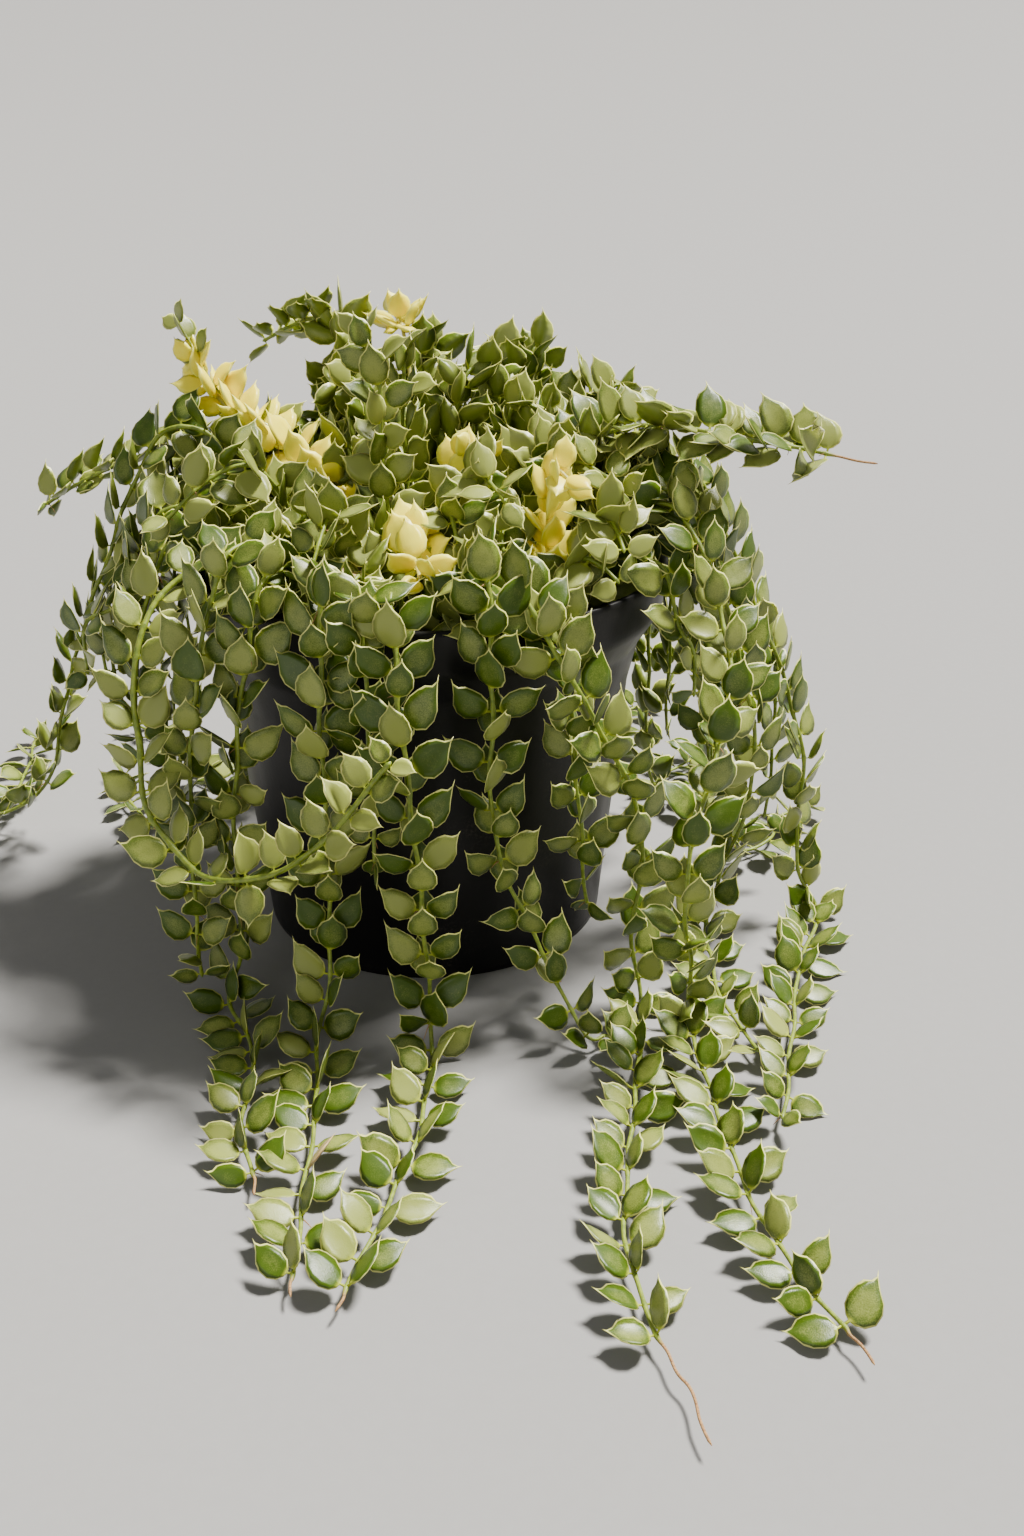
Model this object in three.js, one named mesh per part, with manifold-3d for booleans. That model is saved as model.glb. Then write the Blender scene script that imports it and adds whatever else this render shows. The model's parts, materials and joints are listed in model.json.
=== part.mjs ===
// A potted variegated string of nickels: a black plastic nursery pot filled with potting mix, with
// leafy stems that arch over the rim, hang down its wall and trail along the surface it stands on,
// short shoots that mound over the top, and a few shoots whose leaves are all cream.
// Millimetres, +Z up. The origin is the centre of the pot's base. The front is -Y.
// A bearing is an angle round the pot's axis: 0 is the front, 90 the right (+X), 180 the back.
import * as THREE from "three";
import { mergeVertices } from "three/addons/utils/BufferGeometryUtils.js";
import Module from "manifold-3d";

const wasm = await Module();
wasm.setup();

// Driving dimensions
const rimDiameter = 130;
const potHeight = 105;
const rimBand = 12;
const wall = 1.6;
const baseDiameter = 97;
const fillDepth = 8; // how far the mix lies below the rim
const stemRadius = 1.2;
const leafLength = 9.8;
const gap = 0.35; // clearance between neighbouring solids

// Sizes that follow from them
const rimRadius = rimDiameter / 2;
const baseRadius = baseDiameter / 2;
const floorThickness = wall * 1.4;
const soilTop = potHeight - fillDepth;
const soilCrown = 2.5; // rise of the mix at the centre
const rootDepth = 11;
const neckHeight = soilTop + 4; // a stem stands upright in its hole up to here
const tableHeight = 3.4; // height of a stem's centre line where it lies on the surface
const upward = new THREE.Vector3(0, 0, 1);

const potSides = 24;
const stemSides = 3;
const holeSides = 4;
const holeRadius = (stemRadius + gap) / Math.cos(Math.PI / holeSides);
const drainHoles = 6;
const drainRadius = 4.5;
const chordError = 1.0; // how far a stem's straight stretches may leave its curve

const colours = {
  pot: { color: 0x1b1b1d, roughness: 0.42, metalness: 0 },
  soil: { color: 0x3d2d1f, roughness: 0.95, metalness: 0 },
  green: { color: 0x75883f, roughness: 0.48, metalness: 0 },
  cream: { color: 0xe6d483, roughness: 0.45, metalness: 0 },
};

// Point at a bearing, a distance from the axis and a height.
function at(bearing, radius, height) {
  const turn = THREE.MathUtils.degToRad(bearing);
  return new THREE.Vector3(radius * Math.sin(turn), -radius * Math.cos(turn), height);
}

// Random numbers from 0 to 1 that are the same in every run.
function seeded(seed) {
  let state = seed;
  return () => {
    state = (state * 16807) % 2147483647;
    return state / 2147483647;
  };
}

// A closed mesh as a solid that can be joined and cut.
function solid(geometry) {
  const bare = geometry.clone();
  bare.deleteAttribute("normal");
  bare.deleteAttribute("uv");
  const merged = mergeVertices(bare, 1e-4);
  return new wasm.Manifold(
    new wasm.Mesh({
      numProp: 3,
      vertProperties: new Float32Array(merged.attributes.position.array),
      triVerts: new Uint32Array(merged.index.array),
    }),
  );
}

// A solid as a named mesh with one of the finishes.
function mesh(name, body, finish) {
  const { vertProperties, triVerts } = body.getMesh();
  const geometry = new THREE.BufferGeometry();
  geometry.setAttribute("position", new THREE.BufferAttribute(new Float32Array(vertProperties), 3));
  geometry.setIndex(new THREE.BufferAttribute(new Uint32Array(triVerts), 1));
  geometry.computeVertexNormals();
  const made = new THREE.Mesh(geometry, new THREE.MeshStandardMaterial(colours[finish]));
  made.name = name;
  return made;
}

// A profile of [radius, height] pairs turned round the pot's axis.
function turned(profile, sides) {
  const points = profile.map(([radius, height]) => new THREE.Vector2(radius, height));
  return solid(new THREE.LatheGeometry(points, sides).rotateX(Math.PI / 2));
}

// Upright prism, from one height to another.
function post(x, y, radius, low, high, sides) {
  const geometry = new THREE.CylinderGeometry(radius, radius, high - low, sides);
  return solid(geometry.rotateX(Math.PI / 2).translate(x, y, (low + high) / 2));
}

// The pot's outer wall as [radius, height] pairs: a slight taper, a flare, and the upright rim band.
const bandFoot = potHeight - rimBand;
const outerWall = [
  [baseRadius, 0],
  [baseRadius + 4, potHeight * 0.4],
  [baseRadius + 6.5, potHeight * 0.68],
  [baseRadius + 9.5, potHeight * 0.8],
  [rimRadius - 1.2, bandFoot],
  [rimRadius, potHeight],
];
const innerWall = outerWall.slice(1).map(([radius, height]) => [radius - wall, height]);

function makePot() {
  const profile = [[0, 0], ...outerWall, ...innerWall.slice().reverse()];
  profile.push([baseRadius - wall, floorThickness], [0, floorThickness]);
  let pot = turned(profile, potSides);
  for (let i = 0; i < drainHoles; i++) {
    const place = at((i + 0.5) * (360 / drainHoles), baseRadius * 0.66, 0);
    pot = pot.subtract(post(place.x, place.y, drainRadius, -1, floorThickness + 1, 10));
  }
  return pot;
}

// The potting mix fills the pot, with a plain hole for each stem.
function makeSoil(roots) {
  const inside = innerWall.slice(0, 3).map(([radius, height]) => [radius - gap, height]);
  const topRadius = rimRadius - 1.2 - wall - 2 * gap;
  const profile = [
    [0, floorThickness + gap],
    [baseRadius - wall - 2 * gap, floorThickness + gap],
    ...inside,
    [topRadius, bandFoot],
    [topRadius, soilTop],
    [topRadius * 0.6, soilTop + soilCrown * 0.7],
    [0, soilTop + soilCrown],
  ];
  const holes = roots.map(({ x, y }) =>
    post(x, y, holeRadius, soilTop - rootDepth - gap, potHeight, holeSides),
  );
  return turned(profile, potSides).subtract(wasm.Manifold.union([...holes, ...makeHollows()]));
}

// Shallow hollows that break up the top of the mix.
function makeHollows() {
  const random = seeded(11);
  return Array.from({ length: 7 }, (_, i) => {
    const place = at(i * 137.5, 12 + 36 * Math.sqrt(random()), soilTop + soilCrown + 1.5);
    const dip = new THREE.IcosahedronGeometry(5 + 3 * random(), 0).scale(1, 1, 0.55);
    return solid(dip.rotateZ(i).translate(place.x, place.y, place.z));
  });
}

// Route of a stem that arches over the rim, hangs clear of the wall and then lies on the surface.
// root: distance of its foot from the axis. over: bearing where it crosses the rim. crest: height
// above the rim there. out: distance from the axis halfway down. land: [bearing, radius] where it
// meets the surface. tip: [bearing, radius] of its end. sway: how far it bends sideways at one and
// at two thirds of its way along the surface. bend: share of its drift from over to land that it has
// made halfway down. bare: length of its dried end, which has no leaves.
function trailing({ root, over, crest, out, land, tip, sway = [0, 0], bend = 0.75 }) {
  const [landBearing, landRadius] = land;
  const drift = landBearing - over;
  const top = potHeight + crest;
  const route = [
    at(over, root, soilTop - rootDepth),
    at(over, root, neckHeight),
    at(over, (root + rimRadius) / 2, top - 1.5),
    at(over + drift * 0.04, rimRadius + 3, top),
    at(over + drift * bend * 0.4, (rimRadius + out) / 2 + 4, potHeight - 12),
    at(over + drift * bend, out, potHeight * 0.5),
    at(landBearing - drift * (1 - bend) * 0.2, (out + landRadius) / 2, 17),
    at(landBearing, landRadius + 5, tableHeight + 0.6),
  ];
  const start = at(landBearing, landRadius + 5, tableHeight);
  const end = at(tip[0], tip[1], tableHeight);
  const side = new THREE.Vector3().subVectors(end, start).cross(upward).normalize();
  sway.forEach((aside, i) => {
    route.push(start.clone().lerp(end, (i + 1) / 3).addScaledVector(side, aside));
  });
  route.push(end);
  return route;
}

// Route of a stem that hangs over the rim and ends in the air, at height foot.
function hanging({ root, over, crest, out, drift = 0, foot }) {
  const top = potHeight + crest;
  return [
    at(over, root, soilTop - rootDepth),
    at(over, root, neckHeight),
    at(over, (root + rimRadius) / 2, top - 1.5),
    at(over, rimRadius + 3, top),
    at(over + drift * 0.3, (rimRadius + out) / 2 + 4, potHeight - 10),
    at(over + drift * 0.7, out, (potHeight + foot) / 2),
    at(over + drift, out + 1, foot),
  ];
}

// Route of a shoot that rises from the mix, arches outwards and droops at its end.
// from and to: [bearing, radius] of its foot and its end. rise: height of the arch above the mix.
// droop: how far the end lies below the arch.
function arching({ from, to, rise, droop }) {
  const foot = at(from[0], from[1], neckHeight);
  const end = at(to[0], to[1], soilTop + rise - droop);
  const between = (share, height) => {
    const point = foot.clone().lerp(end, share);
    point.z = soilTop + height;
    return point;
  };
  return [
    at(from[0], from[1], soilTop - rootDepth),
    foot,
    between(0.12, rise * 0.55),
    between(0.42, rise),
    between(0.75, rise - droop * 0.35),
    end,
  ];
}

// The one stem that swings out to the left and curls up again in a loop in front of the others.
const loopRoute = [
  at(-46, 46, soilTop - rootDepth),
  at(-46, 46, neckHeight),
  at(-50, 58, 113),
  at(-54, 71, 111),
  at(-52, 85, 99),
  at(-47, 92, 75),
  at(-42, 96, 62),
  at(-31, 98, 52),
  at(-21, 98, 55),
  at(-13, 98, 64),
  at(-6, 96, 78),
  at(-2, 95, 86),
];

const trailingStems = [
  { root: 50, over: -30, crest: 11, out: 78, land: [-38, 77], tip: [-13, 143], sway: [-4, 1], bare: 7 },
  { root: 54, over: -17, crest: 10, out: 75, land: [-17, 82], tip: [-7, 169], sway: [-1, 0], bare: 5 },
  { root: 50, over: -4, crest: 9, out: 83, land: [2, 79], tip: [-4, 173], sway: [-4, -3], bare: 6 },
  { root: 54, over: 14, crest: 13, out: 72, land: [27, 86], tip: [31, 95], sway: [1, -1], bend: 0.1 },
  {
    root: 48,
    over: 20,
    crest: 9,
    out: 82,
    land: [41, 81],
    tip: [16, 211],
    sway: [6, 11],
    bend: 1.05,
    bare: 25,
  },
  {
    root: 51,
    over: 71,
    crest: 18,
    out: 108,
    land: [44, 93],
    tip: [26, 206],
    sway: [5, 7],
    bend: 1.3,
    bare: 9,
  },
  { root: 47, over: 76, crest: 20, out: 92, land: [72, 77], tip: [44, 121], sway: [3, 4] },
  { root: 53, over: 86, crest: 24, out: 104, land: [81, 107], tip: [37, 142], sway: [2, 1] },
  { root: 49, over: 98, crest: 12, out: 83, land: [101, 90], tip: [112, 131], sway: [3, -4] },
  { root: 53, over: 122, crest: 10, out: 80, land: [126, 86], tip: [140, 142], sway: [-4, 2] },
  { root: 47, over: 143, crest: 14, out: 78, land: [148, 82], tip: [152, 158], sway: [5, -5] },
  { root: 53, over: 163, crest: 10, out: 77, land: [166, 80], tip: [171, 136], sway: [-4, -2] },
  { root: 49, over: 183, crest: 13, out: 78, land: [182, 82], tip: [190, 162], sway: [5, 4] },
  { root: 53, over: 204, crest: 10, out: 77, land: [206, 80], tip: [207, 139], sway: [4, -3] },
  { root: 48, over: 226, crest: 13, out: 80, land: [228, 84], tip: [225, 166], sway: [-5, 4] },
  { root: 48, over: 268, crest: 32, out: 114, land: [254, 146], tip: [235, 183], sway: [3, 2] },
  { root: 49, over: 253, crest: 11, out: 84, land: [250, 90], tip: [236, 134], sway: [-3, -4] },
];

const hangingStems = [
  { root: 55, over: 27, crest: 6, out: 69, drift: 10, foot: 27 },
  { root: 55, over: 60, crest: 7, out: 76, drift: 6, foot: 75 },
  { root: 42, over: -40, crest: 15, out: 85, drift: -2, foot: 10 },
  { root: 55, over: -9, crest: 8, out: 72, drift: 1, foot: 48 },
  { root: 55, over: 81, crest: 8, out: 78, drift: -2, foot: 34 },
  { root: 43, over: 90, crest: 22, out: 97, drift: 2, foot: 22 },
  { root: 56, over: -70, crest: 9, out: 80, drift: -5, foot: 52 },
  { root: 44, over: -78, crest: 15, out: 92, drift: -4, foot: 74 },
  { root: 55, over: 111, crest: 9, out: 76, drift: 3, foot: 38 },
  { root: 43, over: 133, crest: 17, out: 86, drift: -2, foot: 56 },
  { root: 43, over: 174, crest: 17, out: 84, drift: 3, foot: 44 },
  { root: 43, over: 215, crest: 18, out: 84, drift: -3, foot: 60 },
  { root: 43, over: 259, crest: 17, out: 95, drift: 3, foot: 64 },
];

const greenShoots = [
  { from: [-31, 18], to: [-59, 17], rise: 62, droop: -6 },
  { from: [12, 31], to: [13, 45], rise: 28, droop: 5 },
  { from: [-28, 37], to: [-24, 60], rise: 29, droop: 9 },
  { from: [33, 38], to: [26, 47], rise: 24, droop: 4 },
  { from: [-65, 31], to: [-66, 70], rise: 36, droop: 12 },
  { from: [104, 7], to: [79, 116], rise: 43, droop: 6, bare: 12 },
  { from: [69, 30], to: [62, 57], rise: 37, droop: 6 },
  { from: [130, 34], to: [124, 68], rise: 44, droop: 7 },
  { from: [158, 35], to: [156, 72], rise: 52, droop: 6 },
  { from: [184, 35], to: [184, 68], rise: 54, droop: 6 },
  { from: [199, 36], to: [221, 77], rise: 62, droop: 8 },
  { from: [232, 28], to: [254, 117], rise: 31, droop: 19 },
  { from: [160, 14], to: [150, 38], rise: 52, droop: 4 },
  { from: [260, 31], to: [252, 58], rise: 38, droop: 7 },
  { from: [24, 22], to: [26, 49], rise: 36, droop: 3 },
  { from: [230, 18], to: [222, 42], rise: 50, droop: 5 },
  { from: [128, 20], to: [108, 38], rise: 45, droop: 5 },
  { from: [-45, 25], to: [-46, 46], rise: 27, droop: 5 },
];

const creamShoots = [
  { from: [-72, 18], to: [-104, 65], rise: 35, droop: -22 },
  { from: [193, 16], to: [193, 50], rise: 62, droop: -2 },
  { from: [-5, 24], to: [1, 56], rise: 20, droop: 2 },
  { from: [40, 10], to: [46, 22], rise: 38, droop: 1 },
  { from: [45, 44], to: [45, 52], rise: 38, droop: 2 },
];

// The curve through a route's points, as the fewest straight stretches that stay near it, after
// the upright one in the mix.
function straightened([root, ...route]) {
  const curve = new THREE.CatmullRomCurve3(route, false, "centripetal");
  const fine = curve.getSpacedPoints(Math.ceil(curve.getLength() / 1.5));
  const keep = (from, to) => {
    const chord = new THREE.Line3(fine[from], fine[to]);
    let worst = from;
    let distance = 0;
    for (let i = from + 1; i < to; i++) {
      const nearest = chord.closestPointToPoint(fine[i], true, new THREE.Vector3());
      if (nearest.distanceTo(fine[i]) > distance) {
        distance = nearest.distanceTo(fine[i]);
        worst = i;
      }
    }
    if (distance < chordError) return [from];
    return [...keep(from, worst), ...keep(worst, to)];
  };
  const kept = [...keep(0, fine.length - 1), fine.length - 1];
  return [root, ...kept.map((i) => fine[i])];
}

// A path whose stations are its own corners, rather than places an equal length apart.
class CornerPath extends THREE.Curve {
  constructor(points) {
    super();
    this.points = points;
  }

  getPoint(share, target = new THREE.Vector3()) {
    const place = share * (this.points.length - 1);
    const i = Math.min(Math.floor(place), this.points.length - 2);
    return target.lerpVectors(this.points[i], this.points[i + 1], place - i);
  }

  getUtoTmapping(share) {
    return share;
  }
}

// A stem as a tube of straight stretches.
function stemTube(line) {
  const corners = new THREE.EllipseCurve(0, 0, stemRadius, stemRadius).getPoints(stemSides);
  const section = new THREE.Shape(corners.slice(1));
  const settings = { steps: line.length - 1, bevelEnabled: false, extrudePath: new CornerPath(line) };
  return solid(new THREE.ExtrudeGeometry(section, settings));
}

// Outline of one side of a leaf, from its foot to its tip, as [share of length, share of width].
const leafHalf = [
  [0.33, 0.45],
  [0.7, 0.43],
];
const leafWidth = 0.88; // of its length
const leafCrown = 0.15; // thickness at the middle, of its length
const leafRootSink = 0.3; // how far its foot reaches past the stem's centre line

// A plump leaf along +Y from the origin: flat below, domed above (+Z), round with a short point.
function leafSolid(length) {
  const right = leafHalf.map(([v, u]) => new THREE.Vector3(u * leafWidth, v, 0));
  const left = right.map(({ x, y }) => new THREE.Vector3(-x, y, 0));
  const foot = new THREE.Vector3(0, -leafRootSink / length, 0);
  const tip = new THREE.Vector3(0, 1, 0.05);
  const outline = [left[0], foot, ...right, tip, left[1]];
  const crown = new THREE.Vector3(0, 0.42, leafCrown);
  const corners = [...outline, crown].map((corner) => corner.multiplyScalar(length));
  const above = outline.map((_, i) => [i, (i + 1) % outline.length, outline.length]);
  const below = outline.slice(2).map((_, i) => [0, i + 2, i + 1]);
  const geometry = new THREE.BufferGeometry().setFromPoints(corners);
  geometry.setIndex([...above, ...below].flat());
  return solid(geometry);
}

// Where a share of a line's length falls: the point and the direction there.
function along(line, distance) {
  let left = distance;
  for (let i = 0; i + 1 < line.length; i++) {
    const step = line[i].distanceTo(line[i + 1]);
    if (left <= step || i + 2 === line.length) {
      const direction = new THREE.Vector3().subVectors(line[i + 1], line[i]).normalize();
      return [line[i].clone().addScaledVector(direction, left), direction];
    }
    left -= step;
  }
}

// The frame of one leaf: its own +Y points away from the stem and its domed face looks outwards,
// up and a little to the front. turn is its angle round the stem, from the right-hand side. A leaf
// at the side stands square to the stem, and one in front of it leans back along the stem.
function leafFrame(foot, direction, turn, twist) {
  const outward = new THREE.Vector3(foot.x, foot.y, 0).normalize();
  const light = upward.clone().addScaledVector(outward, 0.6);
  light.y -= 0.3 * (1 - outward.y);
  light.addScaledVector(direction, -light.dot(direction)).normalize();
  const side = new THREE.Vector3().crossVectors(direction, light);
  const front = Math.abs(Math.sin(turn));
  const axis = side.multiplyScalar(Math.cos(turn)).addScaledVector(light, Math.sin(turn));
  axis.multiplyScalar(1 - 0.2 * front).addScaledVector(direction, -0.15 - 0.3 * front);
  axis.addScaledVector(upward, 0.2).normalize();
  const face = light.clone().addScaledVector(axis, -light.dot(axis));
  if (face.length() < 0.25) face.copy(direction).addScaledVector(axis, -direction.dot(axis));
  face.normalize().applyAxisAngle(axis, twist);
  const across = new THREE.Vector3().crossVectors(axis, face);
  return new THREE.Matrix4().makeBasis(across, axis, face).setPosition(foot);
}

// A leaf in place, or null where it would touch something of another node or the surface below.
function placedLeaf(foot, direction, turn, twist, length, others) {
  const leaf = leafSolid(length).transform(leafFrame(foot, direction, turn, twist).elements);
  const box = leaf.boundingBox();
  if (box.min[2] < gap) return null;
  const near = others.filter(
    (other) =>
      [0, 1, 2].every((k) => other.box.min[k] - gap < box.max[k]) &&
      [0, 1, 2].every((k) => other.box.max[k] + gap > box.min[k]),
  );
  if (near.some((other) => leaf.minGap(other.body, 1) < gap)) return null;
  return { body: leaf, box };
}

const boxed = (body) => ({ body, box: body.boundingBox() });

// Pairs of opposite leaves along a stem, turned in and out by turns. A leaf that would meet
// another node is turned aside, and left out where no turn clears it.
function leaves({ line, spacing, bare }, others, random) {
  const total = line.slice(1).reduce((sum, point, i) => sum + point.distanceTo(line[i]), 0);
  const made = [];
  const first = rootDepth + 8;
  const last = total - bare - 1.5;
  const count = Math.max(2, Math.round((last - first) / spacing));
  for (let i = 0; i <= count; i++) {
    const distance = first + ((last - first) * i) / count;
    const [foot, direction] = along(line, distance);
    const length = leafLength * (0.94 + 0.14 * random()) * (1 - 0.16 * (i / count) ** 2);
    const pairTurn = (i % 2 ? 0.7 : 0.1) + 0.3 * (random() - 0.5);
    for (const turn of [pairTurn, Math.PI - pairTurn]) {
      const twist = 0.7 * (random() - 0.5);
      const aside = [0, 0.35, -0.35, 0.7, -0.7, 1.1, -1.1];
      const tries = aside.map((extra) => [turn + extra, twist + extra * 0.6]);
      for (const [t, w] of tries) {
        const leaf = placedLeaf(foot, direction, t, w, length, others);
        if (leaf) {
          made.push(leaf);
          break;
        }
      }
    }
  }
  return made;
}

// Every leafy stem: its kind, its line, its finish, how far apart its pairs of leaves are, and the
// length of its bare end.
const longSpacing = 39;
const shortSpacing = 19.5;
const makeStems = (kind, places, routeOf, finish, spacing) =>
  places.map((place) => {
    return { kind, line: straightened(routeOf(place)), finish, spacing, bare: place.bare ?? 0 };
  });
const stems = [
  ...makeStems("trailing_stem", trailingStems, trailing, "green", longSpacing),
  ...makeStems("hanging_stem", hangingStems, hanging, "green", longSpacing),
  ...makeStems("loop_stem", [loopRoute], (route) => route, "green", longSpacing),
  ...makeStems("green_shoot", greenShoots, arching, "green", shortSpacing),
  ...makeStems("cream_shoot", creamShoots, arching, "cream", shortSpacing * 0.8),
];

const pot = makePot();
const soil = makeSoil(stems.map(({ line }) => line[0]));
for (const stem of stems) stem.pieces = [boxed(stemTube(stem.line))];

const fixed = [boxed(pot), boxed(soil)];
const random = seeded(2027);
for (const stem of stems) {
  const others = [...fixed, ...stems.filter((s) => s !== stem).flatMap((s) => s.pieces)];
  stem.pieces.push(...leaves(stem, others, random));
}

const plant = new THREE.Group();
plant.add(mesh("pot", pot, "pot"), mesh("potting_mix", soil, "soil"));
const counts = {};
for (const { kind, pieces, finish } of stems) {
  counts[kind] = (counts[kind] ?? 0) + 1;
  const name = kind === "loop_stem" ? kind : `${kind}_${String(counts[kind]).padStart(2, "0")}`;
  plant.add(mesh(name, wasm.Manifold.union(pieces.map(({ body }) => body)), finish));
}

export default plant;
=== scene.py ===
"""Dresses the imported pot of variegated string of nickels: fine leaves, stems, potting mix and pot.

Lengths are millimetres, as in the part's source, and become metres when a mesh is made. A bearing
is an angle round the pot's axis in degrees: 0 is the front (-Y), 90 the right (+X).
"""

import json
import logging
import math
from dataclasses import dataclass, field
from enum import Enum
from typing import Any, Mapping, Sequence

import bmesh
import bpy
import numpy as np
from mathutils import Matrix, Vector
from numpy.typing import NDArray

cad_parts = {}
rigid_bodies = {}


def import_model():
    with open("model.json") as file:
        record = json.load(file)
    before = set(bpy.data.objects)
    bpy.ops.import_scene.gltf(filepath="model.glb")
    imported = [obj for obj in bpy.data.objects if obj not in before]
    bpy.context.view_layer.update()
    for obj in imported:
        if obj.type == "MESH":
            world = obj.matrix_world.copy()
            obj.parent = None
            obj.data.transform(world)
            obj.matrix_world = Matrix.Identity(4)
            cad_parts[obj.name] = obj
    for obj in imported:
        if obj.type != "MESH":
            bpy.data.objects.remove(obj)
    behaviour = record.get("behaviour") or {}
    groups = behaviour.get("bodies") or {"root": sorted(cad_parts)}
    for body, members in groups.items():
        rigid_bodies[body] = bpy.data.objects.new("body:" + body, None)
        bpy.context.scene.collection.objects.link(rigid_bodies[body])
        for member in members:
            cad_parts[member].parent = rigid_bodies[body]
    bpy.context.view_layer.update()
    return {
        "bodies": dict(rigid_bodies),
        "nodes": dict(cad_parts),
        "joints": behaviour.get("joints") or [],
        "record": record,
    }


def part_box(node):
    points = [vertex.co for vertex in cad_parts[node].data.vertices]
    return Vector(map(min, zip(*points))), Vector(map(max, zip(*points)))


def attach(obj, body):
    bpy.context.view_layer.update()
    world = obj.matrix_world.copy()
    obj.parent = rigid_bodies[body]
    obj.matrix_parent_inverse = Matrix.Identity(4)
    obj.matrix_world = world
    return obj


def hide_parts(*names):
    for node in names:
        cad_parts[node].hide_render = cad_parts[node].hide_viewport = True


Array = NDArray[np.float64]
Numbers = NDArray[np.int64]
Colour = tuple[float, float, float]
Triple = tuple[float, float, float]
Pair = tuple[float, float]
log = logging.getLogger("nickels")

MM = 0.001
BODY = "root"
UP = np.array([0.0, 0.0, 1.0])
TABLE_CLEAR = 0.4  # the least height of a leaf over the surface that the pot stands on
TABLE_SOFT = 0.8  # over how much height leaves are pressed together above that


class Slot(Enum):
    """The record's material slots, by name."""

    POT = "pot"
    MIX = "mix"
    GREEN = "green_leaf"
    CREAM = "cream_leaf"


class Tint(Enum):
    """The two leaf colours of the variegated plant."""

    GREEN = "green"
    CREAM = "cream"


# Vectors, paths and grids


def unit(vectors: Array) -> Array:
    """Scales vectors to length one."""
    return vectors / np.maximum(np.linalg.norm(vectors, axis=-1, keepdims=True), 1e-9)


def square_to(vectors: Array, directions: Array) -> Array:
    """Removes from each vector its part along a unit direction, and scales it to length one."""
    return unit(vectors - (vectors * directions).sum(-1, keepdims=True) * directions)


def at(bearing: float, radius: float, height: float) -> Array:
    """Point at a bearing, a distance from the pot's axis and a height."""
    turn = math.radians(bearing)
    return np.array([radius * math.sin(turn), -radius * math.cos(turn), height])


def round_about(count: int) -> Array:
    """Angles that divide a full turn evenly, in radians."""
    return np.linspace(0, 2 * np.pi, count, endpoint=False)


def turned(radius: Array, turn: Array, height: Array) -> Array:
    """Points (radius cos turn, radius sin turn, height)."""
    return np.stack(np.broadcast_arrays(radius * np.cos(turn), radius * np.sin(turn), height), axis=-1)


def above_table(height: Array) -> Array:
    """Keeps heights over the surface: clear + soft * log(1 + exp((height - clear) / soft))."""
    return TABLE_CLEAR + TABLE_SOFT * np.logaddexp(0, (height - TABLE_CLEAR) / TABLE_SOFT)


def lengths_along(path: Array) -> Array:
    """Length of a path up to each point: the sum of the distances between neighbours."""
    return np.concatenate([[0], np.cumsum(np.linalg.norm(np.diff(path, axis=0), axis=1))])


def sample(marks: Array, reach: Array, rows: Array) -> Array:
    """Rows at marks, read in straight lines between the rows that stand at the lengths reach."""
    return np.stack([np.interp(marks, reach, column) for column in rows.T], axis=-1)


def smooth_path(points: Array, step: float, divisions: int = 40) -> Array:
    """Carries a centripetal Catmull-Rom curve through points and divides it evenly.

    Each stretch is the cubic whose end slopes come from the neighbouring points, with knots spaced
    by the square root of the distance between points.

    Args:
        points: The points that the curve passes through, one per row.
        step: The greatest distance between neighbouring stations.
        divisions: How many pieces a stretch is measured in.

    Returns:
        Stations an equal length apart along the curve.
    """
    ends = np.vstack([2 * points[0] - points[1], points, 2 * points[-1] - points[-2]])
    p0, p1, p2, p3 = ends[:-3], ends[1:-2], ends[2:-1], ends[3:]
    d0, d1, d2 = (np.linalg.norm(b - a, axis=1)[:, None] ** 0.5 for a, b in ((p0, p1), (p1, p2), (p2, p3)))
    slope1 = ((p1 - p0) / d0 - (p2 - p0) / (d0 + d1) + (p2 - p1) / d1) * d1
    slope2 = ((p2 - p1) / d1 - (p3 - p1) / (d1 + d2) + (p3 - p2) / d2) * d1
    u = np.linspace(0, 1, divisions, endpoint=False)[None, :, None]
    p1, p2, slope1, slope2 = (v[:, None, :] for v in (p1, p2, slope1, slope2))
    cubic = p1 + slope1 * u + (3 * (p2 - p1) - 2 * slope1 - slope2) * u**2
    cubic = cubic + (2 * (p1 - p2) + slope1 + slope2) * u**3
    fine = np.vstack([cubic.reshape(-1, 3), points[-1:]])
    reach = lengths_along(fine)
    stations = np.linspace(0, reach[-1], int(math.ceil(reach[-1] / step)) + 1)
    return sample(stations, reach, fine)


def carried_frames(path: Array) -> tuple[Array, Array]:
    """Two directions square to a path, carried along it without twisting.

    Each station's side vector is the last one with its part along the new direction taken out.

    Args:
        path: Stations, one per row.

    Returns:
        The side and the vector square to it and to the path, at each station.
    """
    direction = unit(np.gradient(path, axis=0))
    side = np.empty_like(path)
    # The first side is the part of the X axis square to the path, or of Y where the path runs along X.
    last = np.array([1.0, 0.0, 0.0]) if abs(direction[0, 0]) < 0.9 else np.array([0.0, 1.0, 0.0])
    for i, along in enumerate(direction):
        last = square_to(last, along)
        side[i] = last
    return side, np.cross(direction, side)


def grid_quads(rows: int, columns: int, closed: bool) -> Numbers:
    """Numbers the corners of the quads that a grid of points spans.

    Args:
        rows: How many rows of points there are.
        columns: How many points a row has.
        closed: Whether the last column joins the first.

    Returns:
        Four point numbers for each quad.
    """
    row, column = np.meshgrid(np.arange(rows - 1), np.arange(columns - (not closed)), indexing="ij")
    after = (column + 1) % columns
    near, far = row * columns, (row + 1) * columns
    return np.stack([near + column, near + after, far + after, far + column], axis=-1).reshape(-1, 4)


# Surfaces and pieces


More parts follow.
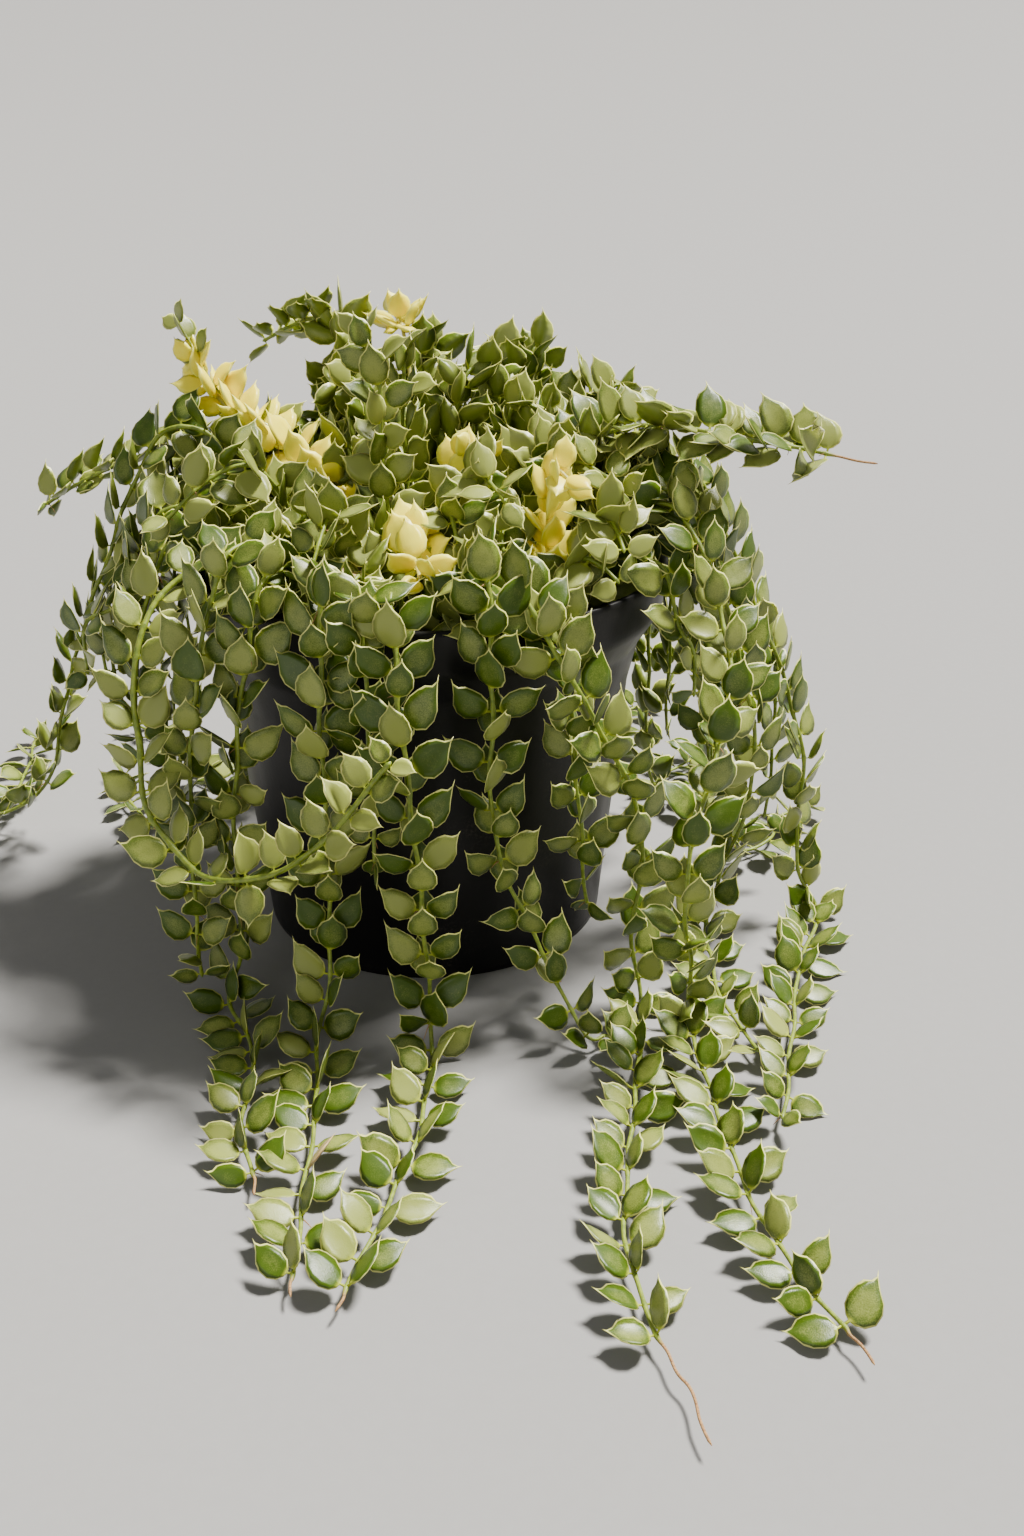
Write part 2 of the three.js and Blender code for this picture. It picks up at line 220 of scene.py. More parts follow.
@dataclass
class Surface:
    """A mesh in the making: vertices, faces, UV places, and values carried by its vertices."""

    points: Array
    quads: Numbers
    triangles: Numbers
    uv: Array
    values: dict[str, Array] = field(default_factory=dict)
    finish: int = 0

    @staticmethod
    def grid(points: Array) -> "Surface":
        """Spans a grid of points, whose last column joins its first, with quads.

        Args:
            points: Points of shape (rows, columns, 3).

        Returns:
            The surface, open at its first and last row.
        """
        rows, columns = points.shape[:2]
        u, v = np.meshgrid(np.linspace(0, 1, columns), np.linspace(0, 1, rows))
        quads = grid_quads(rows, columns, closed=True)
        none = np.empty((0, 3), dtype=np.int64)
        return Surface(points.reshape(-1, 3), quads, none, np.stack([u, v], -1).reshape(-1, 2))

    @staticmethod
    def rings(rings: Array, start: Array, end: Array, finish: int = 0) -> "Surface":
        """Closes copies of a ringed surface, with a pole at each end.

        A point is P(copy, station, turn). Neighbouring stations and turns span quads, the last turn
        joins the first, and the end rings close on their poles.

        Args:
            rings: Points of shape (copies, stations, turns, 3), turning to the right-hand rule
                about the way from start to end.
            start: The pole before the first ring of each copy.
            end: The pole after the last ring of each copy.
            finish: The number of the material slot.

        Returns:
            The closed surface, with turn and station as its UV map.
        """
        copies, stations, turns = rings.shape[:3]
        size = stations * turns + 2
        points = np.concatenate([rings.reshape(copies, -1, 3), start[:, None], end[:, None]], axis=1)
        k = np.arange(turns)
        after = (k + 1) % turns
        low, high = np.full(turns, size - 2), np.full(turns, size - 1)
        last = (stations - 1) * turns
        caps = np.concatenate([np.stack([low, after, k], 1), np.stack([high, last + k, last + after], 1)])
        offset = (np.arange(copies) * size)[:, None, None]
        u, v = np.meshgrid(k / turns, np.linspace(0, 1, stations))
        uv = np.concatenate([np.stack([u, v], -1).reshape(-1, 2), [[0.5, 0], [0.5, 1]]])
        return Surface(
            points.reshape(-1, 3),
            (grid_quads(stations, turns, closed=True)[None] + offset).reshape(-1, 4),
            (caps[None] + offset).reshape(-1, 3),
            np.tile(uv, (copies, 1)),
            finish=finish,
        )

    @staticmethod
    def tube(path: Array, radii: Array, turns: int, finish: int = 0) -> "Surface":
        """Carries a circle along a path: a point is centre + radius * (side cos turn + third sin turn).

        Args:
            path: The centres, one per row.
            radii: The radius at each centre.
            turns: How many points go round the tube.
            finish: The number of the material slot.

        Returns:
            The closed tube.
        """
        side, third = carried_frames(path)
        angle = round_about(turns)[None, :, None]
        ring = side[:, None] * np.cos(angle) + third[:, None] * np.sin(angle)
        rings = path[:, None] + radii[:, None, None] * ring
        return Surface.rings(rings[None], path[None, 0], path[None, -1], finish)


def join(parts: Sequence[Surface]) -> tuple[Surface, Numbers]:
    """Puts surfaces into one, keeping each one's finish for its faces.

    Args:
        parts: The surfaces. A value that one of them lacks is zero there.

    Returns:
        The joined surface, and the material slot of each face, quads first.
    """
    starts = np.cumsum([0] + [len(p.points) for p in parts[:-1]])
    names = sorted({name for p in parts for name in p.values})
    whole = Surface(
        np.concatenate([p.points for p in parts]),
        np.concatenate([p.quads + s for p, s in zip(parts, starts)]),
        np.concatenate([p.triangles + s for p, s in zip(parts, starts)]),
        np.concatenate([p.uv for p in parts]),
        {n: np.concatenate([p.values.get(n, np.zeros(len(p.points))) for p in parts]) for n in names},
    )
    quads = [np.full(len(p.quads), p.finish) for p in parts]
    triangles = [np.full(len(p.triangles), p.finish) for p in parts]
    return whole, np.concatenate(quads + triangles)


def add_object(name: str, data: Any) -> bpy.types.Object:
    """Puts a mesh, a light or a camera into the scene.

    Args:
        name: The object's name.
        data: What it holds.

    Returns:
        The new object, at the origin.
    """
    thing = bpy.data.objects.new(name, data)
    bpy.context.scene.collection.objects.link(thing)
    return thing


def make_piece(
    name: str, parts: Sequence[Surface], materials: Sequence[bpy.types.Material]
) -> bpy.types.Object:
    """Makes one object from surfaces in millimetres, at the origin, riding on the pot's body.

    Args:
        name: The object's name.
        parts: The surfaces that make it up.
        materials: The finishes that the surfaces' finish numbers pick from.

    Returns:
        The new object.
    """
    whole, slots = join(parts)
    corners = np.concatenate([whole.quads.ravel(), whole.triangles.ravel()])
    quads, triangles = len(whole.quads), len(whole.triangles)
    starts = np.concatenate([np.arange(quads) * 4, quads * 4 + np.arange(triangles) * 3])
    mesh = bpy.data.meshes.new(name)
    mesh.vertices.add(len(whole.points))
    mesh.vertices.foreach_set("co", (whole.points * MM).ravel())
    mesh.loops.add(len(corners))
    mesh.loops.foreach_set("vertex_index", corners)
    mesh.polygons.add(len(starts))
    mesh.polygons.foreach_set("loop_start", starts)
    mesh.polygons.foreach_set("material_index", slots)
    mesh.polygons.foreach_set("use_smooth", np.ones(len(starts), dtype=bool))
    mesh.uv_layers.new(name="surface").data.foreach_set("uv", whole.uv[corners].ravel())
    for key, values in whole.values.items():
        mesh.attributes.new(key, "FLOAT", "POINT").data.foreach_set("value", values)
    mesh.update(calc_edges=True)
    mesh.validate()
    for material in materials:
        mesh.materials.append(material)
    piece = add_object(name, mesh)
    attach(piece, BODY)
    log.info("%s: %d triangles", name, 2 * quads + triangles)
    return piece


def weld(piece: bpy.types.Object, distance: float) -> None:
    """Joins a piece's vertices that nearly meet and turns all its faces outwards.

    Args:
        piece: The piece.
        distance: How far apart joined vertices may be.
    """
    shape = bmesh.new()
    shape.from_mesh(piece.data)
    bmesh.ops.remove_doubles(shape, verts=shape.verts, dist=distance * MM)
    bmesh.ops.recalc_face_normals(shape, faces=shape.faces)
    shape.to_mesh(piece.data)
    shape.free()


# Shader maths


class Wire:
    """An output socket whose arithmetic adds Math nodes."""

    def __init__(self, sheet: "ShaderSheet", socket: bpy.types.NodeSocket) -> None:
        """Keeps the sheet of nodes and the socket."""
        self.sheet = sheet
        self.socket = socket

    def _math(self, operation: str, first: Any, second: Any) -> "Wire":
        """Adds a Math node on two values or wires."""
        return self.sheet.add("ShaderNodeMath", {"operation": operation}, {0: first, 1: second})

    def __add__(self, other: Any) -> "Wire":
        """self + other."""
        return self._math("ADD", self, other)

    def __sub__(self, other: Any) -> "Wire":
        """self - other."""
        return self._math("SUBTRACT", self, other)

    def __rsub__(self, other: Any) -> "Wire":
        """other - self."""
        return self._math("SUBTRACT", other, self)

    def __mul__(self, other: Any) -> "Wire":
        """self * other."""
        return self._math("MULTIPLY", self, other)

    __radd__ = __add__
    __rmul__ = __mul__

    def step(self, low: float, high: float) -> "Wire":
        """Rises smoothly from 0 where this is low to 1 where it is high."""
        inputs = {"Value": self, "From Min": low, "From Max": high}
        return self.sheet.add("ShaderNodeMapRange", {"interpolation_type": "SMOOTHSTEP"}, inputs)


class ShaderSheet:
    """The nodes of one material, with a Principled shader at their end."""

    def __init__(self, name: str) -> None:
        """Starts a material with its shader and output.

        Args:
            name: The material's name.
        """
        self.material = bpy.data.materials.new(name)
        self.material.use_nodes = True
        self.tree = self.material.node_tree
        self.tree.nodes.clear()
        self.shader = self.tree.nodes.new("ShaderNodeBsdfPrincipled")
        output = self.tree.nodes.new("ShaderNodeOutputMaterial")
        self.tree.links.new(self.shader.outputs[0], output.inputs["Surface"])

    def _fill(self, node: bpy.types.Node, inputs: Mapping[Any, Any]) -> None:
        """Sets or links a node's sockets.

        Args:
            node: The node.
            inputs: Values or wires, by the sockets' names or numbers.
        """
        for key, value in inputs.items():
            if isinstance(value, Wire):
                self.tree.links.new(value.socket, node.inputs[key])
            else:
                node.inputs[key].default_value = value

    def add(
        self,
        kind: str,
        settings: Mapping[str, Any] | None = None,
        inputs: Mapping[Any, Any] | None = None,
        output: Any = 0,
    ) -> Wire:
        """Adds a node.

        Args:
            kind: The node's type.
            settings: Its properties, set first.
            inputs: Values or wires for its sockets.
            output: The name or number of the output to use.

        Returns:
            That output.
        """
        node = self.tree.nodes.new(kind)
        for key, value in (settings or {}).items():
            setattr(node, key, value)
        self._fill(node, inputs or {})
        return Wire(self, node.outputs[output])

    def place(self) -> Wire:
        """Position on the object, in metres."""
        return self.add("ShaderNodeTexCoord", output="Object")

    def value(self, name: str) -> Wire:
        """A value carried by the mesh's vertices."""
        return self.add("ShaderNodeAttribute", {"attribute_name": name}, output="Fac")

    def noise(
        self, grain: float, detail: float = 3, roughness: float = 0.55, stretch: Triple = (1, 1, 1)
    ) -> Wire:
        """Adds noise from 0 to 1.

        Args:
            grain: Its size in millimetres.
            detail: How many finer layers it has.
            roughness: How strong these are.
            stretch: How much finer it is along each axis.

        Returns:
            The noise.
        """
        place = {"Vector": self.place(), "Scale": stretch}
        scaled = self.add("ShaderNodeMapping", {"vector_type": "POINT"}, place)
        inputs = {"Vector": scaled, "Scale": 1 / (grain * MM), "Detail": detail, "Roughness": roughness}
        return self.add("ShaderNodeTexNoise", inputs=inputs)

    def blend(self, share: Any, first: Any, second: Any) -> Wire:
        """Colour that goes from first to second with share."""
        colours = {0: share, 6: self._rgba(first), 7: self._rgba(second)}
        return self.add("ShaderNodeMix", {"data_type": "RGBA", "clamp_factor": True}, colours, output=2)

    @staticmethod
    def _rgba(colour: Any) -> Any:
        """A plain colour with its alpha, or a wire as it is."""
        return colour if isinstance(colour, Wire) else (*colour, 1)

    def finish(
        self, inputs: Mapping[str, Any], bump: Wire | None = None, depth: float = 0.1
    ) -> bpy.types.Material:
        """Sets the shader's sockets.

        Args:
            inputs: Values or wires for the shader.
            bump: A height from 0 to 1, if the surface has relief.
            depth: The relief's depth in millimetres.

        Returns:
            The finished material.
        """
        self._fill(self.shader, inputs)
        if bump is not None:
            relief = {"Height": bump, "Distance": depth * MM, "Strength": 1.0}
            self._fill(self.shader, {"Normal": self.add("ShaderNodeBump", inputs=relief)})
        return self.material


# Finishes


@dataclass(frozen=True)
class LeafFinish:
    """Thick leaf skin: silver mottled green, pale margin with painted rim highlight, yellower foot and
    stalk.

    mottling is what the leaf's own tone, the clouds, the specks and the blade's middle add up to,
    plain the sum up to which there is no silver, and full how far past it all is silver. middle and
    blotches are the distances from the edge and the heights of the clouds between which the blade's
    middle begins and a withered leaf's two colours change. gloss and relief say what noise adds. The
    pale edge colour is partly the leaf's own margin and partly a painted rim highlight.
    """

    name: str
    deep: Colour
    silver: Colour
    edge: Colour
    stalk: Colour
    under: Colour
    edge_width: float
    silvered: float
    subsurface: float
    cloud: float = 3.0
    speck: float = 0.28
    mottling: tuple[float, float, float, float] = (0.9, 0.4, 0.7, 0.3)
    plain: float = 0.76
    full: float = 0.75
    middle: Pair = (0.3, 2.4)
    edge_fade: float = 0.45
    pale_margin_and_highlight_cover: float = 0.9
    under_cover: float = 0.75
    stalk_run: float = 0.10
    withered: tuple[Colour, Colour] = ((0.50, 0.37, 0.17), (0.30, 0.19, 0.08))
    blotches: Pair = (0.35, 0.65)
    gloss: Pair = (0.27, 0.2)
    scatter: Triple = (0.9, 1.0, 0.25)
    scatter_depth: float = 1.1
    refraction: float = 1.42
    relief: Pair = (0.6, 0.4)
    relief_depth: float = 0.08

    def material(self) -> bpy.types.Material:
        """Builds the leaf material from the values that the leaves carry.

        Returns:
            The finished material.
        """
        sheet = ShaderSheet(self.name)
        tone = sheet.value("tone")
        clouds = sheet.noise(self.cloud)
        specks = sheet.noise(self.speck, detail=2)
        middle = sheet.value("edge").step(*self.middle)
        own, cloudy, speckled, central = self.mottling
        mottled = tone * own + clouds * cloudy + specks * speckled + middle * central
        silver = (mottled - self.plain) * self.silvered
        face = sheet.blend(silver.step(0.0, self.full), self.deep, self.silver)
        face = sheet.blend((1 - sheet.value("upper")) * self.under_cover, face, self.under)
        # Pale edge: partly the leaf's own margin, partly a painted rim highlight.
        rim = sheet.value("edge").step(self.edge_width, self.edge_width * self.edge_fade)
        face = sheet.blend(rim * self.pale_margin_and_highlight_cover, face, self.edge)
        living = sheet.blend(sheet.value("run").step(self.stalk_run, 0.0), face, self.stalk)
        wither = sheet.value("wither")
        dry = sheet.blend(clouds.step(*self.blotches), *self.withered)
        return sheet.finish(
            {
                "Base Color": sheet.blend(wither, living, dry),
                "Roughness": self.gloss[0] + clouds * self.gloss[1],
                "Subsurface Weight": self.subsurface,
                "Subsurface Radius": self.scatter,
                "Subsurface Scale": self.scatter_depth * MM,
                "IOR": self.refraction,
            },
            bump=clouds * self.relief[0] + specks * self.relief[1],
            depth=self.relief_depth,
        )


@dataclass(frozen=True)
class StemFinish:
    """Juicy stem skin, browner and fibrous where the stem has dried.

    blotch and fibre are sizes of noise, blotches and fibres the heights between which its two
    colours change, and gloss the roughness of living skin and what drying adds.
    """

    name: str
    young: Colour
    old: Colour
    dry: Colour = (0.420, 0.240, 0.090)
    dark: Colour = (0.170, 0.085, 0.035)
    blotch: float = 1.6
    blotches: Pair = (0.35, 0.7)
    fibre: float = 0.35
    fibres: Pair = (0.4, 0.7)
    gloss: Pair = (0.42, 0.35)
    subsurface: float = 0.12
    scatter_depth: float = 0.6
    relief_depth: float = 0.10

    def material(self) -> bpy.types.Material:
        """Builds the stem material from how dry each stretch is.

        Returns:
            The finished material.
        """
        sheet = ShaderSheet(self.name)
        blotch = sheet.noise(self.blotch)
        fibre = sheet.noise(self.fibre)
        fresh = sheet.blend(blotch.step(*self.blotches), self.young, self.old)
        dried = sheet.blend(fibre.step(*self.fibres), self.dry, self.dark)
        return sheet.finish(
            {
                "Base Color": sheet.blend(sheet.value("dry"), fresh, dried),
                "Roughness": self.gloss[0] + sheet.value("dry") * self.gloss[1],
                "Subsurface Weight": self.subsurface,
                "Subsurface Scale": self.scatter_depth * MM,
            },
            bump=fibre,
            depth=self.relief_depth,
        )


@dataclass(frozen=True)
class PotFinish:
    """Black moulded plastic with a satin skin, fine scuffs and dust that settles on it.

    patch, speck and scuff are sizes of noise, patches and specks the heights between which dust
    begins, cover how far dust and patches hide the plastic, gloss the least roughness and what
    scuffs and dust add, and relief what specks and scuffs add.
    """

    name: str = "black_plastic"
    body: Colour = (0.004, 0.004, 0.0045)
    dust: Colour = (0.060, 0.052, 0.043)
    patch: float = 14
    patches: Pair = (0.48, 0.78)
    speck: float = 0.8
    specks: Pair = (0.45, 0.75)
    scuff: float = 5
    drawn_out: Triple = (1, 1, 0.12)
    cover: Pair = (0.55, 0.06)
    gloss: Triple = (0.30, 0.18, 0.3)
    shine: float = 0.22
    relief: Pair = (0.4, 0.6)
    relief_depth: float = 0.06

    def material(self) -> bpy.types.Material:
        """Builds the pot's plastic.

        Returns:
            The finished material.
        """
        sheet = ShaderSheet(self.name)
        patches = sheet.noise(self.patch, detail=5, roughness=0.62)
        specks = sheet.noise(self.speck)
        scuffs = sheet.noise(self.scuff, detail=4, stretch=self.drawn_out)
        dust = patches.step(*self.patches) * specks.step(*self.specks)
        covered = dust * self.cover[0] + patches * self.cover[1]
        return sheet.finish(
            {
                "Base Color": sheet.blend(covered, self.body, self.dust),
                "Roughness": self.gloss[0] + scuffs * self.gloss[1] + dust * self.gloss[2],
                "Specular IOR Level": self.shine,
            },
            bump=specks * self.relief[0] + scuffs * self.relief[1],
            depth=self.relief_depth,
        )


@dataclass(frozen=True)
class GrainFinish:
    """Loose stuff of the potting mix, whose pieces differ in shade.

    finer is how many times finer the second grain is, mixed what the two grains and the piece's own
    shade add up to, plain what is taken off, and shades the sums between which the colour changes.
    """

    name: str
    dark: Colour
    light: Colour
    grain: float
    roughness: float
    depth: float
    finer: float = 5
    mixed: Triple = (0.6, 0.4, 0.6)
    plain: float = 0.3
    shades: Pair = (0.2, 0.8)
    shine: float = 0.3

    def material(self) -> bpy.types.Material:
        """Builds the material from each piece's own shade and a noise of the given grain.

        Returns:
            The finished material.
        """
        sheet = ShaderSheet(self.name)
        coarse = sheet.noise(self.grain, detail=5, roughness=0.65)
        fine = sheet.noise(self.grain / self.finer)
        rough, smooth, own = self.mixed
        share = coarse * rough + fine * smooth + sheet.value("tone") * own - self.plain
        return sheet.finish(
            {
                "Base Color": sheet.blend(share.step(*self.shades), self.dark, self.light),
                "Roughness": self.roughness,
                "Specular IOR Level": self.shine,
            },
            bump=coarse * rough + fine * smooth,
            depth=self.depth,
        )


GREEN_LEAF = LeafFinish(
    name="green_leaf_skin",
    deep=(0.044, 0.084, 0.001),
    silver=(0.255, 0.292, 0.060),
    # The edge colour is the pale margin brightened into a painted rim highlight.
    edge=(0.750, 0.750, 0.230),
    stalk=(0.360, 0.410, 0.030),
    under=(0.140, 0.195, 0.012),
    edge_width=0.34,
    silvered=1.0,
    subsurface=0.16,
)
CREAM_LEAF = LeafFinish(
    name="cream_leaf_skin",
    deep=(0.950, 0.765, 0.026),
    silver=(0.980, 0.860, 0.075),
    # The edge colour is the pale margin brightened into a painted rim highlight.
    edge=(0.985, 0.900, 0.160),
    stalk=(0.700, 0.640, 0.040),
    under=(0.930, 0.770, 0.040),
    edge_width=0.5,
    silvered=1.1,
    subsurface=0.35,
)
GREEN_STEM = StemFinish("green_stem_skin", young=(0.250, 0.320, 0.028), old=(0.140, 0.195, 0.020))
CREAM_STEM = StemFinish("cream_stem_skin", young=(0.560, 0.480, 0.110), old=(0.420, 0.400, 0.090))
FINE_MIX = GrainFinish("fine_mix", (0.012, 0.007, 0.004), (0.075, 0.042, 0.022), 2.4, 0.95, 0.9)
BARK = GrainFinish("bark_chips", (0.022, 0.011, 0.006), (0.160, 0.085, 0.042), 1.8, 0.88, 0.4)
GRIT = GrainFinish("perlite_grit", (0.340, 0.320, 0.280), (0.800, 0.780, 0.720), 0.8, 0.9, 0.3)
FIBRE = GrainFinish("root_fibre", (0.120, 0.060, 0.025), (0.460, 0.270, 0.110), 1.0, 0.8, 0.1)


# The pot and what fills it


@dataclass(frozen=True)
class Pot:
    """The moulded nursery pot, turned from its profile, with drainage holes in its base.

    taper is how far the wall stands out from the base, at shares of the height. Of the profile's
    divisions, rounding are averaged at a corner, and one in thinning is kept.
    """

    rim_radius: float
    height: float
    rim_band: float = 12
    band_taper: float = 1.2
    wall: float = 1.6
    floor_share: float = 1.4
    base_radius: float = 48.5
    taper: tuple[Pair, ...] = ((0, 0), (4, 0.4), (6.5, 0.68), (9.5, 0.8))
    drain_holes: int = 6
    drain_radius: float = 4.5
    drain_circle: float = 0.66
    turns: int = 144
    divisions: int = 700
    rounding: int = 9
    thinning: int = 5
    spoke_points: int = 12
    flat_rings: int = 6
    seam: float = 0.02

    @property
    def floor(self) -> float:
        """Thickness of the base."""
        return self.wall * self.floor_share

    @property
    def band_foot(self) -> float:
        """Height of the rim band's lower edge."""
        return self.height - self.rim_band

    @property
    def band_radius(self) -> float:
        """Outer radius of the rim band's lower edge."""
        return self.rim_radius - self.band_taper

    def outer(self) -> Array:
        """Works out the outer wall: a taper, a flare and the upright band.

        Returns:
            Rows of radius and height.
        """
        out, share = np.array(self.taper).T
        wall = np.stack([self.base_radius + out, self.height * share], axis=1)
        return np.vstack([wall, [[self.band_radius, self.band_foot], [self.rim_radius, self.height]]])

    def profile(self) -> Array:
        """Works out the profile from the base's outer edge, over the rim and down to the inner floor.

        The corners are rounded by averaging a dense division of the line over a short window.

        Returns:
            Rows of radius and height.
        """
        outer = self.outer()
        inner = outer[1:][::-1] - [self.wall, 0]
        foot = np.array([[self.base_radius - self.wall, self.floor]])
        line = np.vstack([outer, inner, foot])
        reach = lengths_along(line)
        dense = sample(np.linspace(0, reach[-1], self.divisions), reach, line)
        bell = np.hanning(self.rounding)
        window = bell[1:-1] / bell.sum()
        margin = len(window) // 2
        padded = np.pad(dense, ((margin, margin), (0, 0)), mode="edge")
        soft = np.stack([np.convolve(column, window, mode="valid") for column in padded.T], axis=1)
        soft[0], soft[-1] = dense[0], dense[-1]
        return soft[np.r_[0 : len(soft) - 1 : self.thinning, len(soft) - 1]]

    def wall_surface(self) -> Surface:
        """Turns the profile: (radius cos turn, radius sin turn, height)."""
        profile = self.profile()
        return Surface.grid(turned(profile[:, :1], round_about(self.turns), profile[:, 1:]))

    def sector(self, number: int, radius: float, height: float) -> Array:
        """Works out one sector of a face of the base, round one hole.

        Its points go from the hole's circle to the sector's outline in straight lines: circle +
        (outline - circle) * share.

        Args:
            number: The number of the hole.
            radius: The face's radius.
            height: The face's height.

        Returns:
            Points of shape (rings, outline points, 3).
        """
        middle = (number + 0.5) / self.drain_holes * 2 * np.pi
        hub = self.drain_circle * self.base_radius * np.array([np.cos(middle), np.sin(middle)])
        span = np.linspace(-0.5, 0.5, self.turns // self.drain_holes + 1)
        turn = middle + span * 2 * np.pi / self.drain_holes
        arc = radius * np.stack([np.cos(turn), np.sin(turn)], axis=1)
        spoke = np.linspace(1, 0, self.spoke_points + 1)[1:, None]
        outline = np.vstack([arc, spoke * arc[-1], (spoke * arc[0])[::-1][1:]])
        angle = np.unwrap(np.arctan2(*(outline - hub).T[::-1]))
        circle = hub + self.drain_radius * np.stack([np.cos(angle), np.sin(angle)], axis=1)
        flat = circle + (outline - circle) * np.linspace(0, 1, self.flat_rings)[:, None, None]
        return np.concatenate([flat, np.full((*flat.shape[:2], 1), height)], axis=-1)

    def base_surfaces(self) -> list[Surface]:
        """Makes the base's two faces and its holes' walls, one sector for each hole.

        Returns:
            The surfaces, facing out of the plastic.
        """
        parts = []
        for number in range(self.drain_holes):
            below = self.sector(number, self.base_radius, 0.0)
            above = self.sector(number, self.base_radius - self.wall, self.floor)
            hole = np.concatenate([below[:1] + [0, 0, self.floor], below[:1]])
            parts += [Surface.grid(points) for points in (below, hole, above[::-1])]
        return parts

    def build(self) -> None:
        """Makes the pot, welds its wall to its base and lets it stand for its solid."""
        surfaces = [self.wall_surface(), *self.base_surfaces()]
        pot = make_piece("nursery_pot", surfaces, [PotFinish().material()])
        weld(pot, self.seam)
        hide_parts("pot")


@dataclass(frozen=True)
class Lumps:
    """Loose lumps of one kind: squashed spheres whose points are pushed in and out.

    size is half the greatest length, width and height, rough how far a point may be pushed, as a
    share, lift the height of a lump's middle above the mix, tilts the angles of its rings from its
    pole, few_large a power that makes large lumps rare, stretch the least scale of a side and what
    chance adds, and flat the share of a lump's slope that is kept.
    """

    count: int
    size: Triple
    rough: float
    lift: float
    tilts: Triple = (0.45, 1.57, 2.7)
    turns: int = 6
    smallest: float = 0.35
    few_large: float = 1.6
    stretch: Pair = (0.75, 0.5)
    flat: float = 0.35

    def scattered(self, mix: "PottingMix", rng: np.random.Generator, finish: int) -> Surface:
        """Scatters the lumps over the mix, each turned its own way.

        A point is middle + ball * push * scale, turned by the lump's own frame.

        Args:
            mix: What they lie on.
            rng: The source of random numbers.
            finish: The number of the material slot.

        Returns:
            The lumps as one surface.
        """
        tilt = np.array(self.tilts)[:, None]
        ball = turned(np.sin(tilt), round_about(self.turns), -np.cos(tilt))
        push = 1 + self.rough * (rng.random((self.count, len(tilt), self.turns, 1)) - 0.5)
        least, chance = self.stretch
        share = self.smallest + (1 - self.smallest) * rng.random((self.count, 1)) ** self.few_large
        scale = np.array(self.size) * share * (least + chance * rng.random((self.count, 3)))
        basis = unit(rng.normal(size=(self.count, 3, 3)) * [1, 1, self.flat])
        across = square_to(basis[:, 1], basis[:, 0])
        frame = np.stack([basis[:, 0], across, np.cross(basis[:, 0], across)], axis=1)
        middle = mix.scatter(rng, self.count, self.lift)
        local = ball[None] * push * scale[:, None, None]
        rings = middle[:, None, None] + np.einsum("nrkc,ncd->nrkd", local, frame)
        pole = scale[:, 2:] * frame[:, 2]
        made = Surface.rings(rings, middle - pole, middle + pole, finish)
        made.values["tone"] = np.repeat(rng.random(self.count), len(made.points) // self.count)
        return made


@dataclass(frozen=True)
class Fibres:
    """Fine dry roots: thin arcs that rise and fall over the mix.

    length is the shortest length and what chance adds, sway the greatest sideways bend, wave how
    much of a wave it is, in radians, rest the height of the ends above the mix, and arch how much
    higher the middle is.
    """

    count: int = 70
    length: Pair = (4, 9)
    sway: float = 5
    wave: float = 2.2
    rest: float = 0.25
    arch: float = 1.1
    radius: float = 0.22
    margin: float = 0.8
    stations: int = 8
    turns: int = 4

    def scattered(self, mix: "PottingMix", rng: np.random.Generator, finish: int) -> Surface:
        """Scatters the roots: middle + along * s * length / 2 + side * sin(wave * s) * bend.

        Args:
            mix: What they lie on.
            rng: The source of random numbers.
            finish: The number of the material slot.

        Returns:
            The roots as one surface.
        """
        middle = mix.scatter(rng, self.count, 0)
        heading = rng.random(self.count) * 2 * np.pi
        half = (self.length[0] + self.length[1] * rng.random(self.count))[:, None, None] / 2
        along = np.stack([np.cos(heading), np.sin(heading), 0 * heading], -1)
        side = np.cross(UP, along)
        s = np.linspace(-1, 1, self.stations)[None, :, None]
        bend = (rng.random((self.count, 1, 1)) - 0.5) * self.sway
        path = middle[:, None] + along[:, None] * s * half + side[:, None] * np.sin(self.wave * s) * bend
        spread = np.hypot(path[..., 0], path[..., 1])
        path[..., :2] *= np.minimum(1, (mix.radius - self.margin) / spread)[..., None]
        path = mix.on_top(path[..., 0], path[..., 1], self.rest + self.arch * (1 - s[..., 0] ** 2))
        angle = round_about(self.turns)[:, None]
        ring = side[:, None, None] * np.cos(angle) + UP * np.sin(angle)
        rings = path[:, :, None] + ring * self.radius
        made = Surface.rings(rings[:, ::-1], path[:, -1], path[:, 0], finish)
        made.values["tone"] = np.repeat(rng.random(self.count), len(made.points) // self.count)
        return made


